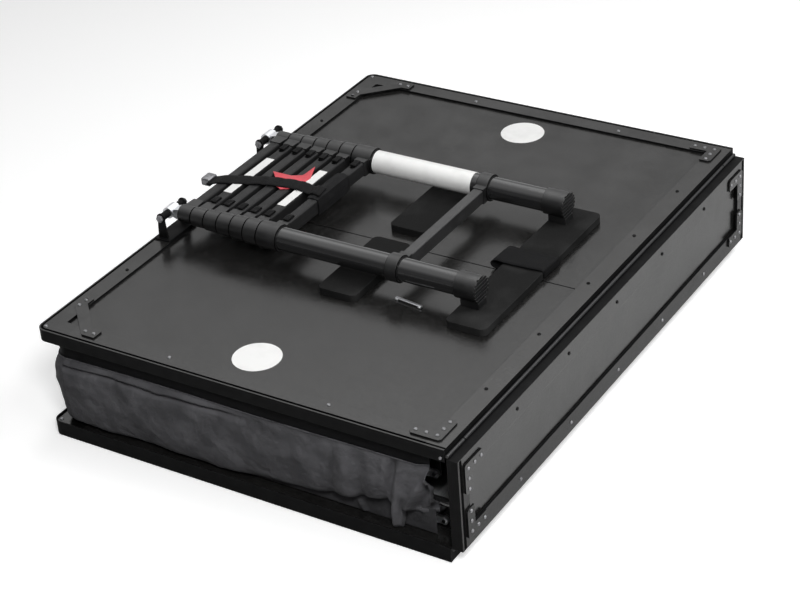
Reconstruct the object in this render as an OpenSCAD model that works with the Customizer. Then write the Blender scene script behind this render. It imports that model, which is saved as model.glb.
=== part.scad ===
// Roof top tent, folded shut: two hinged floor halves, a spine, folded canvas, bows and a telescopic ladder.
// Millimetres. The origin is the middle of the underside. +X points to the hinge side, +Z up.

/* [Floor halves] */
// Length of the tent along its hinges
tent_len = 1400; // [1350:10:1500]
// Depth of each floor half from free edge to hinge edge
half_depth = 1050; // [1020:10:1150]
// Height from the underside of the base rim to the top of the lid rim
closed_h = 283; // [270:1:310]
// Thickness of the floor panels
panel_t = 11.5; // [10:0.5:16]
// Wall thickness of the edge rails
wall = 3; // [2.5:0.5:4]
// Height of the base rim on the three open sides
rim_h = 36; // [34:1:42]
// Height of the lid rim on the three open sides
lid_rim_h = 30; // [28:1:36]
// Thickness of the flanges on the outer faces of the lid and the spine
flange_t = 5.5; // [3:0.5:6]
// Width of the flange on the lid rim
flange_w = 50; // [46:1:58]
// Width of the rail along the hinge side of each half
hinge_rail_w = 46; // [42:1:52]
// Distance of the shadow groove from the outer edges of the lid
groove_in = 3.5; // [3.5:0.5:9]
// Width of that groove
groove_w = 6; // [3:0.5:6]
// Depth of that groove
groove_d = 4; // [1:0.5:4]
// Width of the ledge that carries the base panel
ledge_w = 40; // [30:1:50]
// Radius of the two corners on the free side
corner_r = 22; // [16:1:44]
// Height of the floor above the underside of the base rim
floor_h = 32; // [28:1:34]
// Place of the seam between the lid panels, measured from the middle
seam_y = -40; // [-100:5:100]
// Width of that seam
seam_w = 2; // [1:0.5:4]

/* [Mounting rails] */
// How far the rails stand below the base rim
rail_drop = 2; // [1:0.5:5]
// Width of a mounting rail
rail_w = 40; // [34:1:46]
// Width of the slot in a mounting rail
slot_w = 10; // [8:0.5:12]
// Distance of each rail end from the tent end
rail_end = 60; // [45:5:100]
// Distance between the two mounting rails
rail_gap = 560; // [450:10:700]

/* [Spine and corner plates] */
// Thickness of the spine
spine_t = 26; // [22:1:32]
// Width of the legs of the spine frame along its top and bottom
spine_leg = 45; // [32:1:48]
// Width of the legs of the spine frame at its ends
post_leg = 38; // [32:1:44]
// Thickness of the corner plates
plate_t = 4; // [2:0.5:4.5]
// Width of a corner plate's leg
plate_w = 28; // [24:1:32]
// Distance of a corner plate from the outer edges
plate_in = 20; // [18:1:24]
// Length of the legs of the square corner plates
plate_leg = 74; // [66:1:80]
// Chamfer on the corners of the square plates
plate_cut = 5; // [3:0.5:8]
// Length of the legs of the bent corner plates
bent_leg = 130; // [115:1:145]
// How much of its outer corner a bent plate has cut away
bent_cut = 96; // [84:1:104]
// Radius of a bolt head
bolt_r = 4.5; // [3.5:0.5:5.5]
// Height of a bolt head
bolt_h = 2; // [2:0.5:3]
// Distance of the bolts along the hinge side
bolt_pitch = 230; // [200:5:260]

/* [Hinges] */
// Outer radius of the knuckles
knuckle_r = 4; // [3.5:0.5:5]
// Radius of the hinge pins
pin_r = 2; // [1.5:0.25:2.25]
// Number of knuckles on each hinge
knuckle_n = 28; // [12:2:36]
// Width of a hinge leaf
leaf_w = 28; // [22:1:34]
// Thickness of a hinge leaf
leaf_t = 2; // [1.5:0.5:2.5]
// Distance of each hinge end from the tent end
hinge_end = 72; // [70:1:90]

/* [Mattress, bows and canvas] */
// Thickness of each mattress half
mattress_t = 58; // [40:1:60]
// Radius of the bow tubes
bow_r = 9.5; // [8:0.5:10]
// Wall thickness of the bow tubes
bow_wall = 1.5; // [1:0.25:2]
// Distance of the bow tubes from the outer edges
bow_in = 56; // [54:1:60]
// Bend radius of the bow corners
bow_bend = 90; // [60:5:140]
// Distance of the lower bow's pivot from the hinge edge
low_bow_in = 45; // [42:1:48]
// Distance of the upper bow's pivot from the hinge edge
top_bow_in = 60; // [56:1:66]
// Height of the lower bow above the floor
low_bow_h = 23; // [20:1:26]
// Height of the main bow above the floor
main_bow_h = 71; // [64:1:76]
// Depth of the upper bow below the lid panel
top_bow_h = 96; // [80:1:100]
// Distance of the middle of the canvas wall from the outer edges
canvas_in = 26; // [25:1:27]
// Distance from the hinge edge to the ends of the canvas
canvas_end = 50; // [46:1:60]
// Thickness of the packed canvas wall
canvas_t = 11; // [8:1:12]
// How far the canvas bulges outwards
bulge = 17; // [8:1:18]
// Distance from the free edge to where the crease starts to rise
crease_x = 470; // [350:10:600]
// Height of the crease above the floor at the free side
crease_low = 12; // [12:1:24]
// Height of the crease above the floor at the hinge side
crease_high = 53; // [40:1:70]
// Depth of the gathers in the canvas
gather = 2.4; // [0:0.2:2.6]

/* [Ladder] */
// Number of telescopic sections
sections = 7; // [7]
// Height of the stile axes above the lid
lad_h = 56; // [54:1:62]
// Distance between the two stile axes
lad_w = 407; // [380:1:440]
// Place of the ladder's middle along the tent
lad_y = -12; // [-60:1:60]
// Place of the first collar from the free edge
collar_x = 57; // [54:1:64]
// Distance from one packed collar to the next
collar_pitch = 38.5; // [38:0.5:42]
// Gap between two packed collars
collar_gap = 1.4; // [0.8:0.1:2]
// Chamfer on the edges of a collar
collar_edge = 1.6; // [1:0.2:2]
// Width of the last collar
last_collar = 54; // [46:1:60]
// Radius of the largest tube
big_tube_r = 27.5; // [26:0.25:29]
// Wall thickness of the tubes
tube_wall = 1.4; // [1:0.1:1.5]
// Running gap between one tube and the next
tube_gap = 0.45; // [0.35:0.05:0.6]
// Thickness of a collar around its tube
collar_t = 5; // [4:0.5:6]
// Travel of each section
travel = 270; // [240:5:280]
// Length of tube left inside when a section is drawn out
overlap = 50; // [40:5:60]
// Width of a rung
rung_w = 26; // [24:1:34]
// Depth of a rung
rung_d = 36; // [32:1:38]
// Wall thickness of a rung
rung_wall = 2; // [1.5:0.5:3]
// Place of the bottom rung from the free edge
last_rung_x = 650; // [620:5:660]
// Length of a collar's arm from the stile axis
arm_len = 44; // [42:1:90]
// Distance of the feet's ends from the hinge edge
foot_x = 185; // [150:5:210]
// Length of a foot cap
foot_len = 55; // [50:1:62]
// Place of the ladder's pivot from the free edge
pivot_x = 26; // [24:1:28]
// Radius of the pivot bolts
pivot_r = 5; // [4:0.5:6]
// Gap between a collar's arm and the latch slot in the rung
latch_in = 3; // [2:0.5:6]
// Length of a latch
latch_len = 24; // [16:1:26]
// Width of a latch
latch_w = 14; // [10:1:15]
// Travel of a latch
latch_travel = 8; // [6:1:9]

/* [Rests and straps] */
// Thickness of the ladder rests
rest_t = 17.5; // [12:0.5:18]
// Width of the ladder rests
rest_w = 100; // [80:5:110]
// Length of the long rest
rest_len = 556; // [500:2:600]
// Length of each short rest
short_rest_len = 250; // [200:10:280]
// Distance of the middle of the long rest from the hinge edge
rest_x = 183; // [170:1:195]
// Place of the middle of the short rests from the free edge
short_rest_x = 537; // [480:1:560]
// Distance of each short rest from the middle of the rests
short_rest_gap = 29; // [20:1:45]
// Place of the middle of the rests from the middle of the ladder
rest_shift = -10; // [-20:1:20]
// Width of the ladder strap
strap_w = 40; // [30:1:50]
// Thickness of the straps
strap_t = 2.6; // [2:0.2:3.2]
// Gap between the far latch slot and the sleeve round the last packed rung
sleeve_far = 33; // [10:1:40]
// Gap between the near latch slot and that sleeve
sleeve_near = 81; // [60:1:90]
// Thickness of that sleeve
sleeve_t = 5; // [4:0.5:7]
// Length of the pull tab under the strap
pull_len = 86; // [70:1:96]
// Width of the pull tab at its wide end
pull_w = 112; // [90:2:120]
// Thickness of the pull tab
pull_t = 2.4; // [2:0.2:3]
// Gap between the pull tab and the far latch slots
pull_gap = 40; // [20:1:60]

/* [Hidden] */
fit = 0.2;
run = 0.3;
snug = 0.05;
frame_col = [0.07, 0.07, 0.08];
panel_col = [0.17, 0.17, 0.18];
metal_col = [0.75, 0.76, 0.78];
canvas_col = [0.22, 0.23, 0.24];
tube_col = [0.2, 0.2, 0.21];
plastic_col = [0.05, 0.05, 0.05];

// Edges, levels and axes in the part's own frame
hinge_gap = knuckle_r + run;
x_free = -(half_depth + hinge_gap + spine_t + plate_t + bolt_h) / 2;
x_edge = x_free + half_depth;
x_hinge = x_edge + hinge_gap;
x_spine = x_hinge + spine_t;
y_end = tent_len / 2;
z_base = rail_drop;
z_floor = z_base + floor_h;
z_lid = z_base + closed_h;
z_panel = z_lid - flange_t;
spine_room = spine_t - wall - flange_t;
z_lid_in = z_panel - panel_t;
z_spine0 = z_floor + hinge_gap;
z_spine1 = z_lid_in - hinge_gap;
hinge_len = tent_len - 2 * hinge_end;
knuckle_pitch = hinge_len / knuckle_n;
bow_y = y_end - bow_in;
bow_x = x_free + bow_in;
canvas_x = x_edge - canvas_end;
z_lad = z_lid + lad_h;
low_pivot = [x_edge - low_bow_in, z_floor + low_bow_h];
top_pivot = [x_edge - top_bow_in, z_lid_in - top_bow_h];

// Plan of a floor half, drawn in by inset, with round corners on the free side only
module half_plan(inset, x1) {
    r = max(corner_r - inset, 4);
    x0 = x_free + inset;
    y1 = y_end - inset;
    translate([x0 + r, -y1]) square([x1 - x0 - r, 2 * y1]);
    translate([x0, r - y1]) square([2 * r, 2 * (y1 - r)]);
    for (s = [-1, 1]) translate([x0 + r, s * (y1 - r)]) circle(r, $fn = 48);
}

// Strip of that plan between two insets, open at the hinge side
module half_strip(inset0, inset1, x1) difference() {
    half_plan(inset0, x1);
    half_plan(inset1, x1 + 1);
}

// Rectangle with round corners, around its own middle
module round_rect(w, h, r) {
    square([w - 2 * r, h], center = true);
    square([w, h - 2 * r], center = true);
    for (sx = [-1, 1], sy = [-1, 1]) translate([sx * (w / 2 - r), sy * (h / 2 - r)]) circle(r, $fn = 24);
}

module along_x(r, x0, x1) translate([x0, 0, 0]) rotate([0, 90, 0]) cylinder(r = r, h = x1 - x0, $fn = 48);

module along_y(r, y0, y1) translate([0, y0, 0]) rotate([-90, 0, 0]) cylinder(r = r, h = y1 - y0, $fn = 48);

// Profile drawn in X and Z, pulled along Y around its own middle
module pull_y(len) rotate([90, 0, 0]) linear_extrude(len, center = true) children();

// Base: rim, panel, hinge rail with the lower bow's ears, mounting rails
module base_rim() color(frame_col) {
    translate([0, 0, z_base]) linear_extrude(rim_h) half_strip(0, wall, x_edge);
    translate([0, 0, z_floor - panel_t - wall])
        linear_extrude(wall) half_strip(wall / 2, ledge_w, x_edge - hinge_rail_w);
}

module base_panel() color(panel_col) translate([0, 0, z_floor - panel_t])
    linear_extrude(panel_t) half_plan(wall + fit, x_edge - wall - fit);

// Rail along the hinge side: a wall on the edge and a flange on the panel
module hinge_rail(z0, z1, z_flange, t) {
    y = y_end - wall;
    translate([x_edge - wall, -y, z0]) cube([wall, 2 * y, z1 - z0]);
    translate([x_edge - hinge_rail_w, -y, z_flange]) cube([hinge_rail_w, 2 * y, t]);
}

// Ear that carries the end of a bow: a foot on the panel, an upright and a pin
module bow_ear(pivot, z_foot, up) for (s = [-1, 1]) {
    y_ear = bow_y - 7;
    z_low = min(z_foot, pivot[1]);
    z_foot_low = up ? z_foot : z_foot - wall;
    translate([pivot[0] - 12, s * y_ear - 2, z_low]) cube([24, 4, abs(pivot[1] - z_foot)]);
    translate([pivot[0], s * y_ear, pivot[1]]) along_y(12, -2, 2);
    translate([pivot[0] - 12, s * y_ear - 6, z_foot_low]) cube([x_edge - pivot[0] + 12, 12, wall]);
    translate([pivot[0], s * (bow_y - 1), pivot[1]]) along_y(4, -7, 7);
}

module base_hinge_rail() color(frame_col) {
    hinge_rail(z_base, z_floor, z_floor - panel_t - wall, wall);
    bow_ear(low_pivot, z_floor, true);
}

module mounting_rails() color(metal_col) for (s = [-1, 1]) {
    rail_h = z_floor - panel_t;
    lip = (rail_w - slot_w) / 2;
    translate([s * rail_gap / 2, 0, 0]) pull_y(tent_len - 2 * rail_end) difference() {
        translate([-rail_w / 2, 0]) square([rail_w, rail_h]);
        translate([-rail_w / 2 + wall, wall]) square([rail_w - 2 * wall, rail_h - 2 * wall]);
        translate([lip - rail_w / 2, -1]) square([slot_w, wall + 2]);
    }
}

// Mattress half, with its underside at z0
module mattress(z0) color([0.55, 0.56, 0.58]) translate([0, 0, z0]) linear_extrude(mattress_t)
    translate([(bow_x + low_pivot[0]) / 2, 0])
        round_rect(low_pivot[0] - bow_x - 60, 2 * (bow_y - 20), 40);

module base_mattress() mattress(z_floor + fit);

module lid_mattress() mattress(z_lid_in - fit - mattress_t);

// Canvas: a packed wall round the three open sides, swept along a U of straights and corner arcs
straight_n = 22;
side_n = 24;
arc_n = 5;
level_n = 6;
canvas_r = corner_r + 8;
canvas_cx = x_free + canvas_in + canvas_r;
canvas_cy = y_end - canvas_in - canvas_r;

// One station: place, outward direction, and distance run along the wall
function on_straight(t, s) = [canvas_x + (canvas_cx - canvas_x) * t, s * (y_end - canvas_in), 0, s];
function on_arc(a, s) = [canvas_cx - canvas_r * sin(a), s * (canvas_cy + canvas_r * cos(a)),
    -sin(a), s * cos(a)];
stations = concat(
    [for (i = [0 : straight_n - 1]) on_straight(i / straight_n, -1)],
    [for (i = [0 : arc_n]) on_arc(90 * i / arc_n, -1)],
    [for (i = [1 : side_n - 1]) [x_free + canvas_in, canvas_cy * (2 * i / side_n - 1), -1, 0]],
    [for (i = [0 : arc_n]) on_arc(90 - 90 * i / arc_n, 1)],
    [for (i = [straight_n - 1 : -1 : 0]) on_straight(i / straight_n, 1)]);

// Share of the way towards the hinge side, and the crease height that rises along the front
function hinge_share(p) = min(1, max(0, (p[0] - x_free - crease_x) / (canvas_x - x_free - crease_x)));
function crease_z(p) = z_floor + crease_low + (p[1] < 0 ? hinge_share(p) * (crease_high - crease_low) : 0);

// Gathers: slow waves along the wall, deeper towards the hinge side
function wave(p, k) = sin(p[0] * 0.9 + p[1] * 0.62 + 40 * k) + 0.8 * sin(p[0] * 2.3 - p[1] * 1.7 + 90 * k);
function gathers(p, t) = gather * (0.5 + 0.5 * hinge_share(p)) * wave(p, t) * sin(180 * t);
function swell(t) = pow(sin(180 * min(1, 0.12 + 0.88 * t)), 0.7) * (t < 1 ? 1 : 0.3);
function out_upper(p, t) = bulge * swell(t) + gathers(p, t);
function out_lower(p, t) = 0.45 * bulge * sin(150 * t) + gathers(p, t);

// Ring of points round one station's section, outer side up and inner side down
function section_ring(p, z0, z1, upper) = [for (side = [0, 1], j = [0 : level_n])
    let (t = (side == 0 ? j : level_n - j) / level_n,
        o = (upper ? out_upper(p, t) : out_lower(p, t)) - side * canvas_t)
    [p[0] + p[2] * o, p[1] + p[3] * o, z0 + (z1 - z0) * t]];

module canvas_wall(upper) {
    ring_n = 2 * (level_n + 1);
    last = len(stations) - 1;
    rings = [for (p = stations) upper
        ? section_ring(p, crease_z(p) + run, z_lid_in - run, true)
        : section_ring(p, z_floor + run, crease_z(p) - run, false)];
    points = [for (ring = rings) each ring];
    sides = [for (i = [0 : last - 1], j = [0 : ring_n - 1])
        let (a = i * ring_n + j, b = i * ring_n + (j + 1) % ring_n)
        each [[a, b, b + ring_n], [a, b + ring_n, a + ring_n]]];
    caps = [for (j = [0 : level_n - 1]) each [
        [ring_n - 1 - j, ring_n - 2 - j, j], [ring_n - 2 - j, j + 1, j],
        [last * ring_n + j, last * ring_n + j + 1, last * ring_n + ring_n - 1 - j],
        [last * ring_n + j + 1, last * ring_n + ring_n - 2 - j, last * ring_n + ring_n - 1 - j]]];
    polyhedron(points, concat(sides, caps));
}

module canvas_lower() color(canvas_col) canvas_wall(false);

module canvas_upper() color(canvas_col) canvas_wall(true);

// Continuous hinge: every second knuckle of a row, with webs to a leaf on the spine or on a floor half
web = hinge_gap + 1;
module knuckles(first, on_spine, up) difference() {
    for (i = [first : 2 : knuckle_n - 1]) translate([0, i * knuckle_pitch - hinge_len / 2 + fit, 0]) {
        along_y(knuckle_r, 0, knuckle_pitch - 2 * fit);
        if (on_spine) translate([-leaf_t, 0, up > 0 ? 0 : -web])
            cube([leaf_t, knuckle_pitch - 2 * fit, web]);
        else translate([-web, 0, up > 0 ? 0 : -leaf_t])
            cube([web, knuckle_pitch - 2 * fit, leaf_t]);
    }
    along_y(pin_r + snug, -hinge_len, hinge_len);
}

// Leaf on a floor half: up = 1 on the base floor, -1 under the lid
module half_leaf(z_axis, up) color(metal_col) {
    translate([x_hinge, 0, z_axis]) knuckles(0, false, up);
    translate([x_edge - leaf_w, -hinge_len / 2, up > 0 ? z_axis : z_axis - leaf_t])
        cube([leaf_w, hinge_len, leaf_t]);
}

// Leaf on the spine: up = 1 above the lower axis, -1 below the upper axis
module spine_leaf(z_axis, up) color(metal_col) {
    translate([x_hinge, 0, z_axis]) knuckles(1, true, up);
    translate([x_hinge - leaf_t, -hinge_len / 2, up > 0 ? z_axis + hinge_gap : z_axis - hinge_gap - leaf_w])
        cube([leaf_t, hinge_len, leaf_w]);
}

module lower_hinge_base_leaf() half_leaf(z_floor, 1);

module upper_hinge_lid_leaf() half_leaf(z_lid_in, -1);

module lower_hinge_spine_leaf() spine_leaf(z_floor, 1);

module upper_hinge_spine_leaf() spine_leaf(z_lid_in, -1);

module hinge_pins() color(metal_col) for (z = [z_floor, z_lid_in])
    translate([x_hinge, 0, z]) along_y(pin_r, -hinge_len / 2 - 3, hinge_len / 2 + 3);

// Spine: panel, channel frame, corner plates and bolts
module spine_panel() color(panel_col) {
    edge = wall + fit;
    translate([x_hinge + edge, edge - y_end, z_spine0 + edge])
        cube([spine_room - 2 * fit, tent_len - 2 * edge, z_spine1 - z_spine0 - 2 * edge]);
}

// Channel of the frame in X and Z with its web at the origin and its legs towards +Z
module channel_profile(leg) difference() {
    square([spine_t, leg]);
    translate([wall, wall]) square([spine_room, leg]);
}

module spine_frame() color(frame_col) {
    post_h = z_spine1 - z_spine0 - 2 * spine_leg;
    translate([x_hinge, 0, z_spine0]) pull_y(tent_len) channel_profile(spine_leg);
    translate([x_hinge, 0, z_spine1]) pull_y(tent_len) mirror([0, 1]) channel_profile(spine_leg);
    for (s = [-1, 1]) mirror([0, s > 0 ? 1 : 0, 0]) translate([x_hinge, -y_end, 0]) {
        translate([0, 0, z_spine0 + spine_leg]) linear_extrude(post_h) channel_profile(post_leg);
        translate([wall, 0, z_spine0 + wall])
            cube([spine_room, wall, z_spine1 - z_spine0 - 2 * wall]);
    }
}

// Square corner plate with its outer corner at the origin and its legs along +X and +Y
module square_plate(leg) {
    c = plate_cut;
    polygon([[0, c], [c, 0], [leg - c, 0], [leg, c], [leg, plate_w], [plate_w, plate_w],
        [plate_w, leg], [c, leg], [0, leg - c]]);
}

// Bolt places on that plate
function square_bolts(leg) = let (m = plate_w / 2, e = leg - 9, h = (m + e) / 2)
    [[m, m], [h, m], [e, m], [m, h], [m, e]];

module bolt() cylinder(r1 = bolt_r, r2 = 0.75 * bolt_r, h = bolt_h, $fn = 24);

// Places a child on each outer corner of the spine face, with X along the tent and Y up the spine
module at_spine_corners() for (sy = [-1, 1], sz = [0, 1])
    translate([x_spine, sy * (y_end - plate_in), sz > 0 ? z_spine1 - plate_in : z_spine0 + plate_in])
        rotate([90, 0, 90]) mirror([sy > 0 ? 1 : 0, 0, 0]) mirror([0, sz, 0]) children();

module spine_plates() color(frame_col) at_spine_corners() linear_extrude(plate_t) square_plate(plate_leg);

module spine_bolts() color(metal_col) {
    at_spine_corners() for (p = square_bolts(plate_leg)) translate([p[0], p[1], plate_t]) bolt();
    for (i = [-2 : 2], z = [z_spine0 + spine_leg / 2, z_spine1 - spine_leg / 2])
        translate([x_spine, i * bolt_pitch + 5, z]) rotate([0, 90, 0]) bolt();
}

// Lid: rim with a shadow groove, hinge rail with the upper bow's ears, panels, corner plates and bolts
module lid_rim() color(frame_col) difference() {
    union() {
        translate([0, 0, z_lid - lid_rim_h]) linear_extrude(lid_rim_h) half_strip(0, wall, x_edge);
        translate([0, 0, z_panel]) linear_extrude(flange_t)
            half_strip(wall / 2, flange_w, x_edge - hinge_rail_w);
    }
    translate([0, 0, z_lid - groove_d]) linear_extrude(groove_d + 1)
        half_strip(groove_in, groove_in + groove_w, x_edge);
}

module lid_hinge_rail() color(frame_col) {
    hinge_rail(z_lid_in, z_lid, z_panel, flange_t);
    bow_ear(top_pivot, z_lid_in, false);
}

module lid_panel(y0, y1) color(panel_col) intersection() {
    translate([0, 0, z_lid_in]) linear_extrude(panel_t) half_plan(wall + fit, x_edge - wall - fit);
    translate([x_free, y0, z_lid_in - 1]) cube([half_depth, y1 - y0, panel_t + 2]);
}

module lid_panel_front() lid_panel(-y_end, seam_y - seam_w / 2);

module lid_panel_back() lid_panel(seam_y + seam_w / 2, y_end);

// Bent corner plate with its cut corner towards the origin and its legs along +X and +Y
module bent_plate() {
    inner = bent_cut + plate_w * (sqrt(2) - 1);
    polygon([[0, bent_cut], [bent_cut, 0], [bent_leg, 0], [bent_leg, plate_w], [inner, plate_w],
        [plate_w, inner], [plate_w, bent_leg], [0, bent_leg]]);
}

// Places a child on the lid's hinge corners or free corners, legs pointing inwards
module at_lid_corners(hinge_side) for (s = [-1, 1])
    translate([hinge_side ? x_edge - plate_in : x_free + plate_in, s * (y_end - plate_in), z_lid])
        mirror([hinge_side ? 1 : 0, 0, 0]) mirror([0, s > 0 ? 1 : 0, 0]) children();

module lid_plates() color(frame_col) {
    at_lid_corners(true) linear_extrude(plate_t) square_plate(plate_leg);
    at_lid_corners(false) linear_extrude(plate_t) bent_plate();
}

module lid_bolts() color(metal_col) {
    at_lid_corners(true) for (p = square_bolts(plate_leg)) translate([p[0], p[1], plate_t]) bolt();
    at_lid_corners(false) for (d = [bent_leg - 34, bent_leg - 10]) {
        translate([d, plate_w / 2, plate_t]) bolt();
        translate([plate_w / 2, d, plate_t]) bolt();
    }
    at_lid_corners(false) translate([-2.5, -2.5, 0]) bolt();
    for (i = [-2 : 2]) translate([x_edge - plate_in - 10, i * bolt_pitch - 15, z_lid]) bolt();
    for (s = [-1, 1], x = [0.33, 0.72])
        translate([x_free + x * half_depth, s * (y_end - plate_in - 14), z_lid]) bolt();
    for (s = [-1, 1]) translate([x_free + plate_in + 14, s * tent_len / 4 + 60 * s, z_lid]) bolt();
}

// Bows: a tube bent into a U, open at its leg ends
module bow_bar(x_leg, r) {
    for (s = [-1, 1]) {
        translate([0, s * bow_y, 0]) along_x(r, bow_x + bow_bend, x_leg);
        translate([bow_x + bow_bend, s * (bow_y - bow_bend), 0]) rotate([0, 0, s > 0 ? 90 : 180])
            rotate_extrude(angle = 90, $fn = 48) translate([bow_bend, 0]) circle(r, $fn = 32);
    }
    translate([bow_x, 0, 0]) along_y(r, bow_bend - bow_y, bow_y - bow_bend);
}

module bow_tube(x_leg) difference() {
    bow_bar(x_leg, bow_r);
    bow_bar(x_leg + 1, bow_r - bow_wall);
}

// Bow with a flat tab and eye in each leg end, that turns on the pins of two ears
module swinging_bow(pivot) color(metal_col) translate([0, 0, pivot[1]]) difference() {
    union() {
        bow_tube(pivot[0] - 14);
        for (s = [-1, 1]) translate([pivot[0], s * bow_y, 0]) {
            along_y(bow_r, -4, 4);
            translate([-40, -4, 1 - bow_r]) cube([40, 8, 2 * bow_r - 2]);
        }
    }
    for (s = [-1, 1]) translate([pivot[0], s * bow_y, 0]) along_y(4 + snug, -20, 20);
}

module lower_bow() swinging_bow(low_pivot);

module upper_bow() swinging_bow(top_pivot);

module main_bow() color(metal_col) translate([0, 0, z_floor + main_bow_h]) {
    x_foot = x_hinge + wall + fit;
    bow_tube(x_foot);
    for (s = [-1, 1]) translate([0, s * bow_y, 0]) difference() {
        along_x(12, x_foot - 4, x_foot);
        along_x(bow_r - bow_wall, x_foot - 5, x_foot + 1);
    }
}

// Ladder: sections count from the pivot, each tube runs inside the next one
function tube_r(k) = big_tube_r - (sections - k) * (tube_wall + tube_gap);
function collar_at(k) = collar_x + (k - 1) * collar_pitch;
function collar_w(k) = k == sections ? last_collar : collar_pitch - collar_gap;
function rung_at(k) = collar_at(k) + (k == sections ? 0.6 : 0.5) * collar_w(k);
lip = 6;
rung_z = -3;
rung_top = rung_z + rung_d / 2;
slot_deep = 7;
latch_y = arm_len + latch_in;
latch_room = latch_len + latch_travel + 2 * run;
slot_end = lad_w / 2 - latch_y - latch_room;
foot_at = half_depth - foot_x;
rest_at = half_depth - rest_x;
tube_end = foot_at - 5;

module ladder_place() translate([x_free, lad_y, z_lad]) children();

// Both stiles: the child is drawn for the near stile, with +Y towards the middle of the ladder
module both_stiles() ladder_place() for (s = [0, 1])
    mirror([0, s, 0]) translate([0, -lad_w / 2, 0]) children();

module ladder_tube(k) {
    x0 = collar_at(k) + (k > 1 ? lip : 0);
    x1 = k == sections ? tube_end : collar_at(k) + collar_pitch + travel + overlap;
    difference() {
        along_x(tube_r(k), x0, x1);
        along_x(tube_r(k) - tube_wall, x0 - 1, x1 + 1);
    }
}

// Rung: a rounded box tube between the arms of two collars, with a slot for each latch
module rung(x, latched) difference() {
    ladder_place() translate([x, 0, rung_z]) pull_y(lad_w - 2 * arm_len) difference() {
        round_rect(rung_w, rung_d, 5);
        round_rect(rung_w - 2 * rung_wall, rung_d - 2 * rung_wall, 3);
    }
    if (latched) both_stiles() translate([x, latch_y, rung_top - slot_deep]) latch_slot();
}

module ladder_section(k) color(tube_col) {
    both_stiles() ladder_tube(k);
    rung(rung_at(k), k > 1);
    if (k == sections) rung(last_rung_x, false);
}

// Arm of a collar: a tapering block to the rung's end and a tongue inside the rung
module collar_arm(x, w) translate([x, 0, rung_z]) {
    tongue = latch_in + latch_room + 6;
    translate([0, 0, -rung_d / 2 - 1]) linear_extrude(rung_d + 3)
        polygon([[-w / 2, 0], [w / 2, 0], [rung_w / 2 + 1, arm_len], [-rung_w / 2 - 1, arm_len]]);
    translate([0, arm_len + tongue - 1, 0]) rotate([90, 0, 0]) linear_extrude(tongue)
        round_rect(rung_w - 2 * rung_wall - 2 * fit, rung_d - 2 * rung_wall - 2 * fit, 3);
}

// Ring of a collar between two places along the stile, with chamfered edges
module collar_ring(r, x0, x1) translate([x0, 0, 0]) rotate([0, 90, 0]) rotate_extrude($fn = 48)
    polygon([[0, 0], [r - collar_edge, 0], [r, collar_edge], [r, x1 - x0 - collar_edge],
        [r - collar_edge, x1 - x0], [0, x1 - x0]]);

module latch_shape(len, w) {
    translate([-w / 2, w / 2]) square([w, len - w]);
    for (y = [w / 2, len - w / 2]) translate([0, y]) circle(w / 2, $fn = 24);
}

module latch_slot() linear_extrude(slot_deep + 1) latch_shape(latch_room, latch_w + 2 * run);

module ladder_collars(k) color(plastic_col) both_stiles() {
    x0 = collar_at(k);
    x1 = x0 + collar_w(k);
    difference() {
        union() {
            collar_ring(tube_r(k) + collar_t, x0, x1);
            collar_arm(rung_at(k), collar_pitch - collar_gap - 2);
        }
        along_x(tube_r(k) + snug, x0 + (k > 1 ? lip : -1), foot_at);
        along_x(tube_r(k) - tube_wall, -1, foot_at);
        if (k > 1) translate([rung_at(k), latch_y, rung_top - slot_deep]) latch_slot();
    }
    if (k == sections) difference() {
        union() {
            collar_ring(tube_r(k) + collar_t, last_rung_x - 16, last_rung_x + 16);
            collar_arm(last_rung_x, rung_w + 2);
        }
        along_x(tube_r(k) + snug, 0, foot_at);
    }
}

// Latch that slides in its rung's slot, towards the middle of the ladder
module latch(k, far) color(tube_col) ladder_place() mirror([0, far ? 1 : 0, 0])
    translate([rung_at(k), latch_y + run - lad_w / 2, rung_top - slot_deep + run]) {
        linear_extrude(slot_deep + 2) latch_shape(latch_len, latch_w);
        translate([0, 1.5, slot_deep + 2]) linear_extrude(2) latch_shape(latch_len - 3, latch_w - 3);
    }

// Tongue at the head of each stile: an eye on the pivot tube, a plate and a plug in the first tube
module ladder_tongues() color(metal_col) both_stiles() difference() {
    union() {
        translate([pivot_x, 0, 0]) along_y(pivot_r + 9, -16, 16);
        pull_y(26) polygon([[pivot_x, -6], [collar_x, -15], [collar_x, 15], [pivot_x, 6]]);
        along_x(tube_r(1) - tube_wall - snug, collar_x - 1, collar_x + 24);
    }
    translate([pivot_x, 0, 0]) along_y(pivot_r + 4 + snug, -17, 17);
}

// Foot cap with a ribbed sole and a heel that lies on the long rest
module ladder_feet() color(plastic_col) both_stiles() difference() {
    union() {
        along_x(tube_r(sections) + 3.5, foot_at - foot_len, foot_at);
        translate([foot_at - foot_len + 10, -18, rest_t - flange_t + run - lad_h])
            cube([foot_len - 10, 36, lad_h - rest_t]);
    }
    along_x(tube_r(sections) + snug, foot_at - foot_len - 1, tube_end);
    for (i = [-3 : 3]) translate([foot_at - 3, -40, i * 9 - 1.5]) cube([4, 80, 3]);
}

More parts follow.
